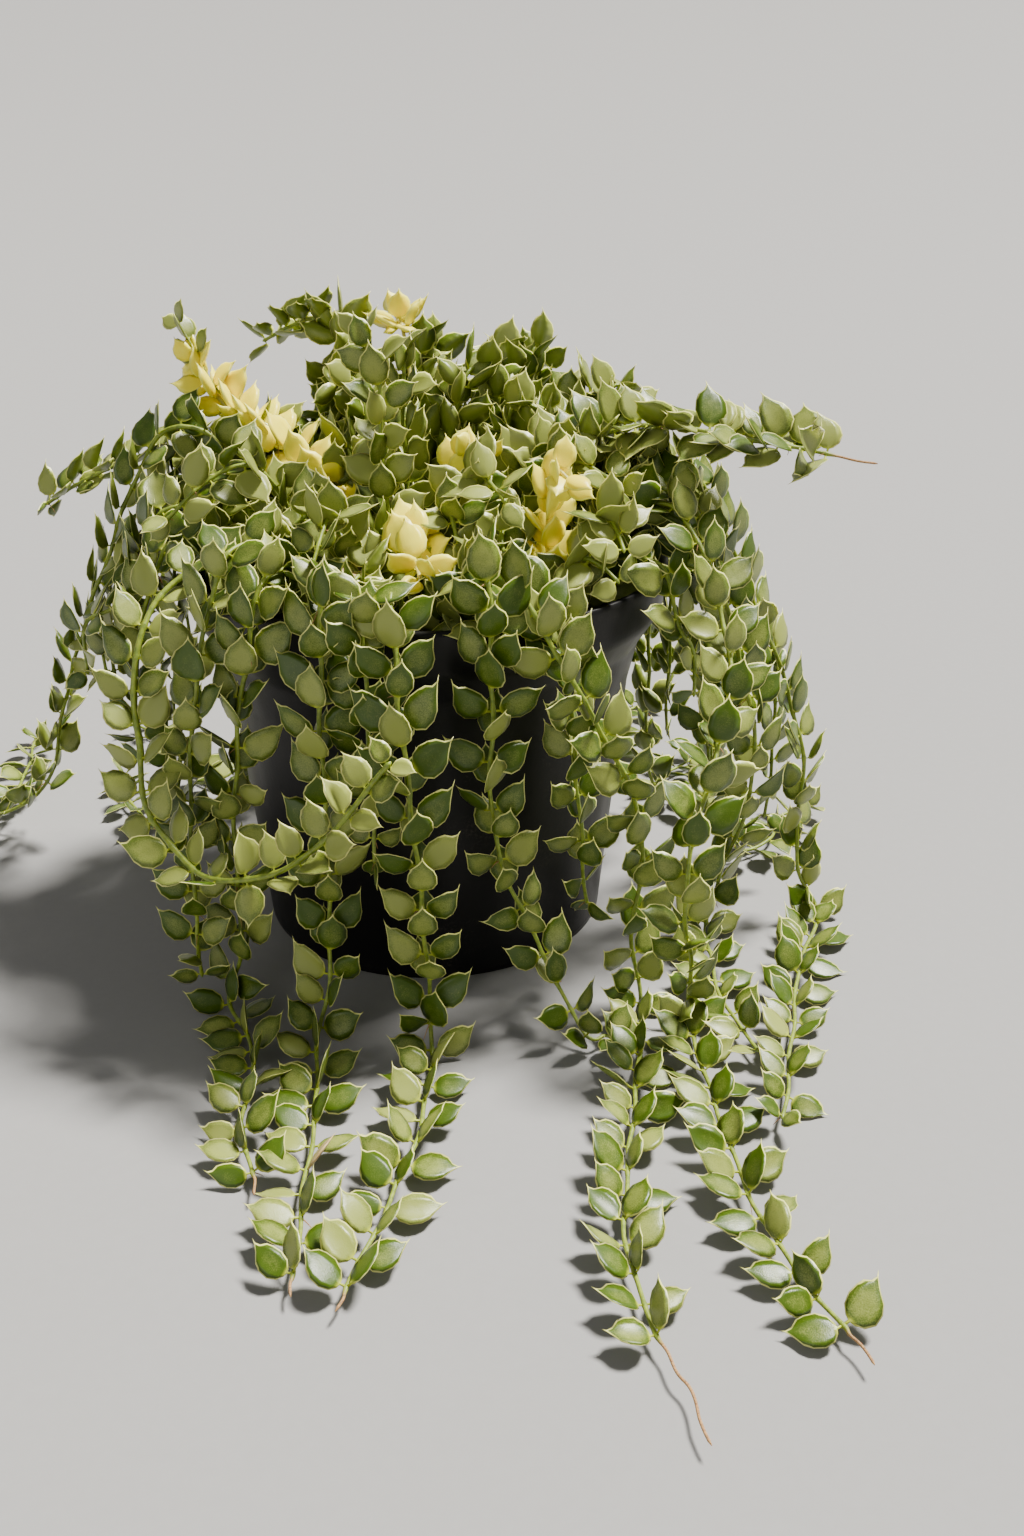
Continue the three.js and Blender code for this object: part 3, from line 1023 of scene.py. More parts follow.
@dataclass(frozen=True)
class PottingMix:
    """The mix: a lumpy body, and bark, grit and fibres lying on top of it.

    waves holds the frequency and heading of each wave of the top, and wave_height is the height of
    one of frequency one. lumpiness is how far they show, and settled how far the top has sunk.
    """

    pot: Pot
    fill_depth: float = 8
    crown: float = 2.5
    clear: float = 0.35
    waves: tuple[Pair, ...] = ((0.31, 0.4), (0.42, 1.7), (0.74, 2.9), (1.15, 4.4), (1.9, 5.6))
    wave_height: float = 0.55
    lumpiness: float = 0.42
    settled: float = 0.8
    bark: Lumps = Lumps(420, (3.6, 2.0, 1.0), rough=0.5, lift=0.3)
    grit: Lumps = Lumps(110, (1.5, 1.2, 1.0), rough=0.4, lift=0.4)
    fibres: Fibres = Fibres()
    turns: int = 150
    top_rings: int = 60
    eye: float = 0.02
    margin: float = 0.97
    seed: int = 41

    @property
    def top(self) -> float:
        """Height of the mix at its edge."""
        return self.pot.height - self.fill_depth

    @property
    def radius(self) -> float:
        """Radius of the mix at its top."""
        return self.pot.band_radius - self.pot.wall - 2 * self.clear

    def height(self, x: Array, y: Array) -> Array:
        """Works out the lumpy top: a low dome plus waves that cross each other.

        A wave is height / frequency * sin(frequency * (x cos heading + y sin heading) + 9 heading).
        The dome falls off with the square of the distance from the axis, the waves with its eighth
        power.

        Args:
            x: Places to the right.
            y: Places to the back.

        Returns:
            The heights there.
        """
        spread = np.hypot(x, y) / self.radius
        waves = sum(
            self.wave_height / size * np.sin(x * size * np.cos(turn) + y * size * np.sin(turn) + turn * 9)
            for size, turn in self.waves
        )
        dome = self.top + self.crown * (1 - spread**2)
        return dome + (waves * self.lumpiness - self.settled) * (1 - spread**8)

    def on_top(self, x: Array, y: Array, lift: Any = 0) -> Array:
        """Points at a height above the mix's top."""
        return np.stack([x, y, self.height(x, y) + lift], axis=-1)

    def scatter(self, rng: np.random.Generator, count: int, lift: float) -> Array:
        """Spreads places evenly over the top.

        Args:
            rng: The source of random numbers.
            count: How many places.
            lift: Their height above the mix.

        Returns:
            The places.
        """
        radius = self.radius * self.margin * np.sqrt(rng.random(count))
        turn = rng.random(count) * 2 * np.pi
        return self.on_top(radius * np.cos(turn), radius * np.sin(turn), lift)

    def body(self) -> Surface:
        """Makes the mix's body: rings from the middle of its floor, up the wall and in over the top.

        Returns:
            The closed body.
        """
        pot = self.pot
        floor = pot.floor + self.clear
        wall = pot.outer()[1:] - [pot.wall + self.clear, 0]
        below = np.array([[pot.base_radius - pot.wall - 2 * self.clear, floor]])
        side = np.vstack([below * [0.5, 1], below, wall[:3], [[self.radius, pot.band_foot]]])
        inward = np.linspace(1, self.eye, self.top_rings)[:, None] * self.radius
        turn = round_about(self.turns)
        low = turned(side[:, :1], turn, side[:, 1:])
        high = self.on_top(inward * np.cos(turn), inward * np.sin(turn))
        middle = np.zeros(1)
        start = np.array([[0, 0, floor]])
        return Surface.rings(np.concatenate([low, high])[None], start, self.on_top(middle, middle))

    def build(self) -> None:
        """Makes the body of the mix and the loose pieces on it."""
        rng = np.random.default_rng(self.seed)
        body = make_piece("lumpy_mix", [self.body()], [FINE_MIX.material()])
        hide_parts("potting_mix")
        kinds = (self.bark, self.grit, self.fibres)
        loose = [kind.scattered(self, rng, finish) for finish, kind in enumerate(kinds)]
        finishes = [BARK.material(), GRIT.material(), FIBRE.material()]
        make_piece("bark_grit_and_roots", loose, finishes)


# Routes of the stems


@dataclass(frozen=True)
class Ground:
    """Heights and distances that every route shares.

    root_depth is how deep a stem stands in the mix, neck how far it stands upright above it, sag
    how much lower it is halfway to the rim, past_rim how far outside the rim it passes over it,
    belly how far it then swings out, and trail_drop and hang_drop how far below the rim a trailing
    or a hanging stem then is. table and knee are a stem's heights where it lies on the surface and
    just before, settle is how far outside its landing it lies down, and settle_lift how much higher
    it is there.
    """

    rim_radius: float
    pot_height: float
    soil_top: float
    root_depth: float = 11
    neck: float = 4
    sag: float = 1.5
    past_rim: float = 3
    belly: float = 4
    trail_drop: float = 12
    hang_drop: float = 10
    table: float = 3.4
    knee: float = 17
    settle: float = 5
    settle_lift: float = 0.6

    def start(self, bearing: float, radius: float) -> list[Array]:
        """The foot of a stem in the mix and the point up to which it stands upright."""
        heights = (self.soil_top - self.root_depth, self.soil_top + self.neck)
        return [at(bearing, radius, height) for height in heights]

    def over_rim(self, bearing: float, radius: float, crest: float, drift: float = 0) -> list[Array]:
        """Works out the points of a stem up to where it passes over the rim.

        Args:
            bearing: The bearing of its foot.
            radius: Its foot's distance from the axis.
            crest: Its height above the rim.
            drift: How far aside of its foot it passes over the rim, in degrees.

        Returns:
            The points, from its foot on.
        """
        top = self.pot_height + crest
        return self.start(bearing, radius) + [
            at(bearing, (radius + self.rim_radius) / 2, top - self.sag),
            at(bearing + drift, self.rim_radius + self.past_rim, top),
        ]

    def below(self, drop: float) -> float:
        """Height that lies a drop below the rim."""
        return self.pot_height - drop

    def swung_out(self, out: float) -> float:
        """How far from the axis a stem is below the rim, on its way to a distance out."""
        return (self.rim_radius + out) / 2 + self.belly


@dataclass(frozen=True, kw_only=True)
class Route:
    """What every kind of route says of the leaves along it.

    bare is the length of the stem's dried end, spacing the distance between pairs of leaves, first
    how far from its foot they begin, size their scale, fan how many degrees every other pair is
    turned round the stem, turned how many degrees all of them are, closed how far they are folded
    up along it, from 0 to 1, thick the stem's own scale, and stretch how much wider the pairs stand
    towards its end.
    """

    bare: float = 0
    spacing: float = 6.2
    first: float = 14
    size: float = 1
    fan: float = 90
    turned: float = 0
    closed: float = 0
    thick: float = 1
    stretch: float = 0

    def points(self, ground: Ground) -> Array:
        """The points of the route, from its foot in the mix to its end."""
        raise NotImplementedError


@dataclass(frozen=True)
class Trailing(Route):
    """A stem that arches over the rim, hangs clear of the wall and then lies on the surface.

    root is its foot's distance from the axis, over the bearing where it crosses the rim, crest its
    height above the rim there, out its distance from the axis halfway down, land and tip the
    bearing and radius where it meets the surface and ends, sway its sideways bends at one and at
    two thirds of its way along the surface, and bend the share of its drift from over to land that
    it has made halfway down.
    """

    root: float
    over: float
    crest: float
    out: float
    land: Pair
    tip: Pair
    sway: Pair = (0, 0)
    bend: float = 0.75
    spacing: float = field(default=6.7, kw_only=True)
    stretch: float = field(default=0.25, kw_only=True)

    def points(self, ground: Ground) -> Array:
        """Works out the points of the route, which makes its drift in shares on its way down.

        Args:
            ground: The heights and distances that routes share.

        Returns:
            The points, one per row.
        """
        bearing, radius = self.land
        drift = bearing - self.over
        halfway = drift * self.bend
        start = at(bearing, radius + ground.settle, ground.table)
        end = at(*self.tip, ground.table)
        side = np.cross(unit(end - start), UP)
        route = ground.over_rim(self.over, self.root, self.crest, drift * 0.04) + [
            at(self.over + halfway * 0.4, ground.swung_out(self.out), ground.below(ground.trail_drop)),
            at(self.over + halfway, self.out, ground.pot_height * 0.5),
            at(bearing - drift * (1 - self.bend) * 0.2, (self.out + radius) / 2, ground.knee),
            start + UP * ground.settle_lift,
        ]
        route += [start + (end - start) * (i + 1) / 3 + side * aside for i, aside in enumerate(self.sway)]
        return np.array(route + [end])


@dataclass(frozen=True)
class Hanging(Route):
    """A stem that hangs over the rim and ends in the air, at height foot, drift degrees aside."""

    root: float
    over: float
    crest: float
    out: float
    foot: float
    drift: float = 0

    def points(self, ground: Ground) -> Array:
        """Works out the points of the route.

        Args:
            ground: The heights and distances that routes share.

        Returns:
            The points, one per row.
        """
        hanging = [
            at(self.over + self.drift * 0.3, ground.swung_out(self.out), ground.below(ground.hang_drop)),
            at(self.over + self.drift * 0.7, self.out, (ground.pot_height + self.foot) / 2),
            at(self.over + self.drift, self.out + 1, self.foot),
        ]
        return np.array(ground.over_rim(self.over, self.root, self.crest) + hanging)


@dataclass(frozen=True)
class Arching(Route):
    """A shoot that rises from the mix at begin, arches to height rise and droops towards end.

    begin and end are bearings and radii, and droop is how far the end lies below the arch. arch
    holds shares of the way, of the rise and of the droop, for each of its points.
    """

    begin: Pair
    end: Pair
    rise: float
    droop: float
    spacing: float = field(default=4.7, kw_only=True)
    arch: tuple[Triple, ...] = field(default=((0.12, 0.55, 0), (0.42, 1, 0), (0.75, 1, 0.35)), kw_only=True)

    def points(self, ground: Ground) -> Array:
        """Works out the points of the route.

        Args:
            ground: The heights and distances that routes share.

        Returns:
            The points, one per row.
        """
        foot = ground.start(*self.begin)
        tip = at(*self.end, ground.soil_top + self.rise - self.droop)
        middle = []
        for way, up, down in self.arch:
            point = foot[1] + (tip - foot[1]) * way
            point[2] = ground.soil_top + (self.rise * up - self.droop * down)
            middle.append(point)
        return np.array(foot + middle + [tip])


@dataclass(frozen=True)
class Looping(Route):
    """The one stem that swings out to the left and curls up again in front of the others.

    begin is the bearing and radius of its foot, and places holds bearings, radii and heights.
    """

    begin: Pair
    places: tuple[Triple, ...]

    def points(self, ground: Ground) -> Array:
        """The points of the route, from its foot in the mix to its end."""
        return np.array(ground.start(*self.begin) + [at(*place) for place in self.places])


TRAILING = (
    Trailing(50, -30, 11, 78, (-38, 77), (-13, 143), (-4, 1), bare=7),
    Trailing(54, -17, 10, 75, (-17, 82), (-7, 169), (-1, 0), bare=5),
    Trailing(50, -4, 9, 83, (2, 79), (-4, 173), (-4, -3), bare=6, first=46),
    Trailing(54, 14, 13, 72, (27, 86), (31, 95), (1, -1), bend=0.1),
    Trailing(48, 20, 9, 82, (41, 81), (16, 211), (6, 11), bend=1.05, bare=25),
    Trailing(51, 71, 18, 108, (44, 93), (26, 206), (5, 7), bend=1.3, bare=9),
    Trailing(47, 76, 20, 92, (72, 77), (44, 121), (3, 4)),
    Trailing(53, 86, 24, 104, (81, 107), (37, 142), (2, 1)),
    Trailing(49, 98, 12, 83, (101, 90), (112, 131), (3, -4)),
    Trailing(53, 122, 10, 80, (126, 86), (140, 142), (-4, 2)),
    Trailing(47, 143, 14, 78, (148, 82), (152, 158), (5, -5)),
    Trailing(53, 163, 10, 77, (166, 80), (171, 136), (-4, -2)),
    Trailing(49, 183, 13, 78, (182, 82), (190, 162), (5, 4)),
    Trailing(53, 204, 10, 77, (206, 80), (207, 139), (4, -3)),
    Trailing(48, 226, 13, 80, (228, 84), (225, 166), (-5, 4)),
    Trailing(48, 268, 32, 114, (254, 146), (235, 183), (3, 2)),
    Trailing(49, 253, 11, 84, (250, 90), (236, 134), (-3, -4)),
)
HANGING = (
    Hanging(55, 27, 6, 69, 27, 10),
    Hanging(55, 60, 7, 76, 75, 6),
    Hanging(42, -40, 15, 85, 10, -2),
    Hanging(55, -9, 8, 72, 48, 1, first=34),
    Hanging(55, 81, 8, 78, 34, -2),
    Hanging(43, 90, 22, 97, 22, 2),
    Hanging(56, -70, 9, 80, 52, -5),
    Hanging(44, -78, 15, 92, 74, -4),
    Hanging(55, 111, 9, 76, 38, 3),
    Hanging(43, 133, 17, 86, 56, -2),
    Hanging(43, 174, 17, 84, 44, 3),
    Hanging(43, 215, 18, 84, 60, -3),
    Hanging(43, 259, 17, 95, 64, 3),
)
LOOP = Looping(
    (-46, 46),
    (
        (-50, 58, 113),
        (-54, 71, 111),
        (-52, 85, 99),
        (-47, 92, 75),
        (-42, 96, 62),
        (-31, 98, 52),
        (-21, 98, 55),
        (-13, 98, 64),
        (-6, 96, 78),
        (-2, 95, 86),
    ),
    spacing=8.0,
    size=0.95,
    fan=30,
    thick=1.25,
)
GREEN_SHOOTS = (
    Arching((-31, 18), (-59, 17), 62, -6),
    Arching((12, 31), (13, 45), 28, 5),
    Arching((-28, 37), (-24, 60), 29, 9),
    Arching((33, 38), (26, 47), 24, 4),
    Arching((-65, 31), (-66, 70), 36, 12),
    Arching((104, 7), (79, 116), 43, 6, bare=12, spacing=3.0, size=1.12, fan=35),
    Arching((69, 30), (62, 57), 37, 6),
    Arching((130, 34), (124, 68), 44, 7),
    Arching((158, 35), (156, 72), 52, 6),
    Arching((184, 35), (184, 68), 54, 6),
    Arching((199, 36), (221, 77), 62, 8, spacing=3.6, size=1.1),
    Arching((232, 28), (254, 117), 31, 19, spacing=3.8),
    Arching((160, 14), (150, 38), 52, 4),
    Arching((260, 31), (252, 58), 38, 7),
    Arching((24, 22), (26, 49), 36, 3, size=1.06),
    Arching((230, 18), (222, 42), 50, 5),
    Arching((128, 20), (108, 38), 45, 5),
    Arching((-45, 25), (-46, 46), 27, 5),
)
LONG_CREAM_SHOOT = Arching((-72, 18), (-104, 65), 35, -22, spacing=3.0, closed=0.05)
HIGH_CREAM_SHOOT = Arching((193, 16), (193, 50), 62, -2, spacing=3.8, first=76, size=0.8, closed=0.4)
LOW_CREAM_SHOOTS = (
    Arching((-5, 24), (1, 56), 20, 2, spacing=3.4, first=30, size=1.1, closed=0.22, turned=45),
    Arching((40, 10), (46, 22), 38, 1, spacing=3.8, first=43, size=0.85, closed=0.3, turned=50),
    Arching((45, 44), (45, 52), 38, 2, spacing=3.8, first=18, closed=0.4),
)
CREAM_SHOOTS = (LONG_CREAM_SHOOT, HIGH_CREAM_SHOOT, *LOW_CREAM_SHOOTS)
EXTRA_STEMS = (
    Arching((-60, 6), (-88, 5), 61, 0, size=1.08),
    Arching((-72, 18), (-104, 68), 37, -29, first=90, size=0.8, thick=0.5),
    Hanging(50, -88, 20, 86, 66, 3),
    Hanging(48, -102, 22, 88, 78, 2),
    Hanging(50, -114, 18, 84, 60, -3),
)


# Leaves and stems


@dataclass(frozen=True)
class Leaves:
    """Where leaves grow and how they are turned, one row for each leaf.

    A leaf stalk leaves the stem by lateral, the blade points along axis, its upper face looks along
    face, and its point is swept sideways by swept.
    """

    foot: Array
    lateral: Array
    axis: Array
    face: Array
    scale: Array
    swept: Array


@dataclass(frozen=True)
class LeafForm:
    """The shape of a leaf: a short stalk and a thick, nearly round blade with a drawn-out point.

    The leaf stalk has radius stalk and length reach, and begins inside the stem. widest is a share
    of the blade's length, shoulder a share of the rest of it, where the sides turn hollow, and
    rounding one where the round sides would meet. cup, fold and curl hold a mean and a spread, as
    shares of width or length. blade gives the places of the rings along the blade, and across and
    above those of a ring's points, as shares of half the width and thickness.
    """

    length: float
    width: float
    thickness: float
    stalk: float = 0.32
    reach: float = 1.5
    inside: float = 0.15
    widest: float = 0.36
    shoulder: float = 0.50
    rounding: float = 0.72
    hollow: float = 2.2
    flatness: float = 0.55
    narrow: float = 0.05
    cup: Pair = (0.07, 0.06)
    fold: Pair = (0.025, 0.04)
    curl: Pair = (0.01, 0.07)
    sweep: float = 0.28
    blade: tuple[float, ...] = (0.02, 0.12, 0.31, 0.52, 0.67, 0.78, 0.90)
    across: tuple[float, ...] = (1, 0, -1, -0.55, 0, 0.55)
    above: tuple[float, ...] = (0, -1, 0, 0.84, 1, 0.84)
    outline_points: int = 200

    def half_width(self, share: Array) -> Array:
        """Works out half the blade's width.

        It is round up to its shoulder: a quarter of an ellipse as far as the widest place and a
        rounder curve beyond it. From the shoulder the sides are hollow and run out to the point.

        Args:
            share: Shares of the blade's length, from 0 to 1.

        Returns:
            Half its width there.
        """
        foot = np.sqrt(np.clip(1 - ((self.widest - share) / self.widest) ** 2, 0, 1))
        rest = np.clip((share - self.widest) / (1 - self.widest), 0, 1)
        body = np.sqrt(np.clip(1 - (rest / self.rounding) ** 2, 0, 1))
        neck = math.sqrt(1 - (self.shoulder / self.rounding) ** 2)
        point = neck * ((1 - rest) / (1 - self.shoulder)) ** self.hollow
        beyond = np.where(rest < self.shoulder, body, point)
        return self.width / 2 * np.where(share < self.widest, foot, beyond)

    def rows(self) -> tuple[Array, Array, Array, Array]:
        """Works out the rings: two on the leaf stalk and the blade's.

        Returns:
            Along, half width, half thickness and how far it has left the stem, for each ring.
        """
        share = np.array(self.blade)
        wide = self.half_width(share)
        thick = self.thickness / 2 * (2 * wide / self.width) ** self.flatness
        stalk = [self.stalk, self.stalk]
        return (
            np.concatenate([[0, 0], share * self.length]),
            np.concatenate([stalk, wide]),
            np.concatenate([stalk, thick]),
            np.concatenate([[self.inside, 1], np.ones(len(share))]),
        )

    def values(self, scale: Array) -> dict[str, Array]:
        """Works out what the leaves' points carry to their finish.

        Args:
            scale: The leaves' sizes.

        Returns:
            edge, the distance from the blade's outline, measured in the flat blade; upper, 1 on the
            upper face; and run, the share of the leaf's length from its foot.
        """
        dense = np.linspace(0, 1, self.outline_points)
        outline = np.stack([self.half_width(dense), dense * self.length], axis=1)
        along, wide, _, _ = self.rows()
        across = np.abs(np.array(self.across))
        spots = np.stack([wide[:, None] * across, along[:, None] + 0 * across], axis=-1)
        spots = np.vstack([spots.reshape(-1, 2), [[0, 0], [0, self.length]]])
        edge = np.linalg.norm(spots[:, None] - outline[None], axis=-1).min(axis=1)
        upper = np.clip(1 + np.array(self.above), 0, 1)
        upper = np.concatenate([np.tile(upper, len(along)), [1, 1]])
        run = np.concatenate([np.repeat(along, len(across)), [0, self.length]]) / self.length
        count = len(scale)
        return {
            "edge": np.tile(edge, count) * np.repeat(scale, len(edge)),
            "upper": np.tile(upper, count),
            "run": np.tile(run, count),
        }

    def grow(self, leaves: Leaves, rng: np.random.Generator) -> Surface:
        """Grows leaves on a stem.

        A point is foot + lateral * reach + across * x + axis * y + face * z. In the flat leaf
        x = half width * across and z = half thickness * above. The blade is then cupped by
        z + cup * x^2, folded by z + fold * |x|, curled by z + curl * y^2, and its point is swept
        sideways by x + sweep * y^3.

        Args:
            leaves: Where they grow and how they are turned.
            rng: The source of random numbers.

        Returns:
            All the leaves as one surface, with the values that their finish reads.
        """
        count = len(leaves.foot)
        along, wide, thick, left = (v[None, :, None] for v in self.rows())
        across, above = (np.array(v)[None, None] for v in (self.across, self.above))
        spread = rng.normal(size=(4, count, 1, 1))
        narrow = 1 + self.narrow * spread[0]
        x, y, z = wide * across * narrow, along + 0 * across, thick * above
        t = y / self.length
        inside = np.abs(x) / (self.width / 2)
        cup = self.width * (self.cup[0] + self.cup[1] * spread[1])
        fold = self.width * (self.fold[0] + self.fold[1] * spread[2])
        curl = self.length * (self.curl[0] + self.curl[1] * spread[3])
        z = z + cup * inside**2 + fold * inside + curl * t**2
        sweep = self.sweep * self.length * leaves.swept
        x = x + sweep[:, None, None] * t**3
        tip = np.stack([sweep, np.full(count, self.length), curl[:, 0, 0]], axis=-1)
        scale = leaves.scale[:, None]
        local = np.stack(np.broadcast_arrays(x, y, z), axis=-1) * scale[..., None, None]
        basis = np.stack([np.cross(leaves.axis, leaves.face), leaves.axis, leaves.face], axis=1)
        stem = leaves.foot[:, None] + leaves.lateral[:, None] * left[0] * self.reach * scale[..., None]
        rings = stem[:, :, None] + np.einsum("nrkc,ncd->nrkd", local, basis)
        end = stem[:, -1] + np.einsum("nc,ncd->nd", tip * scale, basis)
        rings[..., 2], end[..., 2] = above_table(rings[..., 2]), above_table(end[..., 2])
        made = Surface.rings(rings, leaves.foot, end)
        made.values = self.values(leaves.scale)
        return made


@dataclass(frozen=True)
class Skin:
    """What the leaves and stems of one tint are made with."""

    leaf: LeafFinish
    stem: StemFinish
    form: LeafForm
    slot: Slot


SKINS = {
    Tint.GREEN: Skin(GREEN_LEAF, GREEN_STEM, LeafForm(length=11.6, width=8.0, thickness=1.1), Slot.GREEN),
    Tint.CREAM: Skin(CREAM_LEAF, CREAM_STEM, LeafForm(length=11.3, width=7.8, thickness=2.3), Slot.CREAM),
}


@dataclass(frozen=True)
class Stand:
    """Where the leaves of a stem stand, one row for each leaf.

    light is the way to the light, square to the stem, side is square to both, turn is the angle
    round the stem from side towards light, lying tells whether the stem lies on the surface, and
    young how near the leaf is to the end of a living tip, from 0 to 1.
    """

    foot: Array
    along: Array
    light: Array
    side: Array
    lying: NDArray[np.bool_]
    turn: Array
    young: Array

    @property
    def lateral(self) -> Array:
        """The way from the stem to the leaf."""
        return self.side * np.cos(self.turn)[:, None] + self.light * np.sin(self.turn)[:, None]

    @property
    def front(self) -> Array:
        """How far the leaf is in front of or behind the stem, from 0 to 1."""
        return np.abs(np.sin(self.turn))[:, None]

    @property
    def rising(self) -> Array:
        """How steeply the stem rises: 0 where it doesn't, and 1 from a slope of a half on."""
        return np.clip(self.along[:, 2:] * 2, 0, 1)


@dataclass(frozen=True)
class Habit:
    """How this plant's leaves stand and vary. A spread is that of a normal distribution.

    Under height low a stem lies on the surface. Its light comes from skyward (lying and in the
    air), outward from the pot, and forward on the front. Where it lies, laid and raised hold each
    leaf's angle and its share of the pair's turn. tucked is how much less a leaf in front of the
    stem or behind it reaches aside, lean how far it leans along it (at the side, and added in
    front), and lift how far up (lying, in the air, and added where rising). ahead is how far faces
    look towards the tip: when young, closed, lying and rising. On a lying stem a leaf further to
    the front than upright stands up, and looks by upright_turn less to the light and more to the
    stem. sweep_up is how strongly points are swept up, and sound the share of leaves that haven't
    withered.
    """

    low: float = 12
    skyward: Pair = (2, 0.7)
    outward: float = 0.6
    forward: float = 0.45
    light_spread: float = 0.12
    turn_spread: float = 0.22
    laid: Pair = (0.12, 0.1)
    raised: Pair = (0.12, 0.6)
    young_pairs: float = 2
    tucked: float = 0.55
    lean: Pair = (0.05, 0.75)
    lift: Triple = (0.05, 0.24, 0.35)
    axis_spread: float = 0.12
    ahead: tuple[float, float, float, float] = (0.25, 4, 0.3, 0.55)
    face_spread: Pair = (0.3, 0.15)
    upright: float = 0.5
    upright_turn: Pair = (0.45, 0.9)
    sweep_up: float = 0.6
    sweep: Pair = (0.5, 1.3)
    size: Pair = (0.88, 1.1)
    tapering: float = 0.12
    young_small: float = 0.2
    tone_spread: float = 0.28
    sound: float = 0.999

    def facing(self, turn: Array, lying: Array) -> Array:
        """Works out the angles of the two leaves of each pair round the stem.

        Args:
            turn: The pair's own angle.
            lying: Whether the stem lies on the surface there.

        Returns:
            A row of two angles for each pair.
        """
        one = np.where(lying, self.laid[0] + self.laid[1] * turn, turn)
        other = np.pi + np.where(lying, -self.raised[0] - self.raised[1] * turn, turn)
        return np.stack([one, other], axis=1)

    def axes(self, stand: Stand, closed: float, rng: np.random.Generator) -> Array:
        """Works out the ways that blades point: aside, along the stem, and up.

        Args:
            stand: Where the leaves stand.
            closed: How far they are folded up along the stem.
            rng: The source of random numbers.

        Returns:
            The ways, of length one.
        """
        lean = 2 * stand.rising - 1
        lean = lean + (1 - lean) * stand.young
        lean = (self.lean[0] + self.lean[1] * stand.front) * lean + closed
        axis = stand.lateral * (1 - self.tucked * stand.front) + stand.along * lean
        lift = np.where(stand.lying, self.lift[0], self.lift[1] + self.lift[2] * stand.rising)
        return unit(axis + UP * lift + self.axis_spread * rng.normal(size=axis.shape))

    def faces(self, stand: Stand, axis: Array, closed: float, rng: np.random.Generator) -> Array:
        """Works out the ways that upper faces look: to the light, and ahead along the stem.

        Args:
            stand: Where the leaves stand.
            axis: The ways that their blades point.
            closed: How far they are folded up along the stem.
            rng: The source of random numbers.

        Returns:
            The ways, square to the blades and of length one.
        """
        young, folded, lying, rising = self.ahead
        ahead = young * stand.young + folded * closed + lying * stand.lying + rising * stand.rising
        loose = self.face_spread[0] + self.face_spread[1] * stand.rising
        face = stand.light + stand.along * ahead + loose * rng.normal(size=axis.shape)
        stood = (stand.lying & (stand.front > self.upright)).astype(float)
        less, inward = self.upright_turn
        outwards = stand.side * np.sign(np.cos(stand.turn))[:, None]
        return square_to(face * (1 - less * stood) - inward * stood * outwards, axis)


@dataclass(frozen=True)
class StemForm:
    """The shape of a stem: a round tube, thicker at its joints, thinner and crooked where dried.

    crook is how far its dried end wanders, and crooks how fast, in radians per millimetre.
    """

    radius: float = 0.6
    turns: int = 7
    taper: float = 0.2
    joint_length: float = 0.75
    joint_swell: float = 0.30
    drying: float = 1.5
    dry_thinner: float = 0.35
    end: float = 0.3
    crook: float = 0.35
    crooks: Pair = (0.5, 0.8)

    def grow(self, route: Route, path: Array, reach: Array, marks: Array) -> Surface:
        """Makes a stem's tube. A joint swells it by swell * exp(-(distance / length)^2).

        Args:
            route: The stem's route.
            path: The stations along it.
            reach: The length up to each of them.
            marks: Where the pairs of leaves stand.

        Returns:
            The tube, with how dry it is as a value.
        """
        length = reach[-1]
        dry = np.clip((reach - (length - route.bare)) / self.drying, 0, 1) * (route.bare > 0)
        joint = np.exp(-(((reach[:, None] - marks[None]) / self.joint_length) ** 2)).sum(axis=1)
        taper = 1 - self.taper * (reach / length) ** 2
        swell = 1 + self.joint_swell * joint * (1 - dry)
        radii = self.radius * route.thick * taper * swell * (1 - self.dry_thinner * dry)
        radii[-1] *= self.end
        right, back = self.crooks
        crooked = np.stack([np.sin(reach * right), np.cos(reach * back), 0 * reach], 1)
        made = Surface.tube(path + crooked * dry[:, None] * self.crook, radii, self.turns, finish=1)
        made.values["dry"] = np.concatenate([np.repeat(dry, self.turns), dry[:1], dry[-1:]])
        return made


@dataclass(frozen=True)
class AirRoot:
    """A short dry root at a joint, which droops from the stem.

    share is that of the joints that have one, level the share of its slope that is kept, down how
    far it points down, and droop how far its end does, as a share of its length.
    """

    share: float = 0.16
    length: Pair = (1.8, 4.5)
    radii: tuple[float, ...] = (0.2, 0.17, 0.14, 0.11, 0.06)
    turns: int = 3
    level: float = 0.4
    down: float = 0.3
    droop: float = 0.35
    lowest: float = 0.3

    def grow(self, foot: Array, rng: np.random.Generator) -> Surface:
        """Makes the root: foot + way * s * length - up * s^2 * length * droop.

        Args:
            foot: The point on the stem.
            rng: The source of random numbers.

        Returns:
            The root as a thin tube, all dry.
        """
        way = unit(rng.normal(size=3) * [1, 1, self.level] - [0, 0, self.down])
        s = np.linspace(0, 1, len(self.radii))[:, None]
        length = rng.uniform(*self.length)
        line = foot + way * s * length - UP * s**2 * length * self.droop
        line[:, 2] = np.maximum(line[:, 2], self.lowest)
        made = Surface.tube(line, np.array(self.radii), self.turns, finish=1)
        made.values["dry"] = np.ones(len(made.points))
        return made


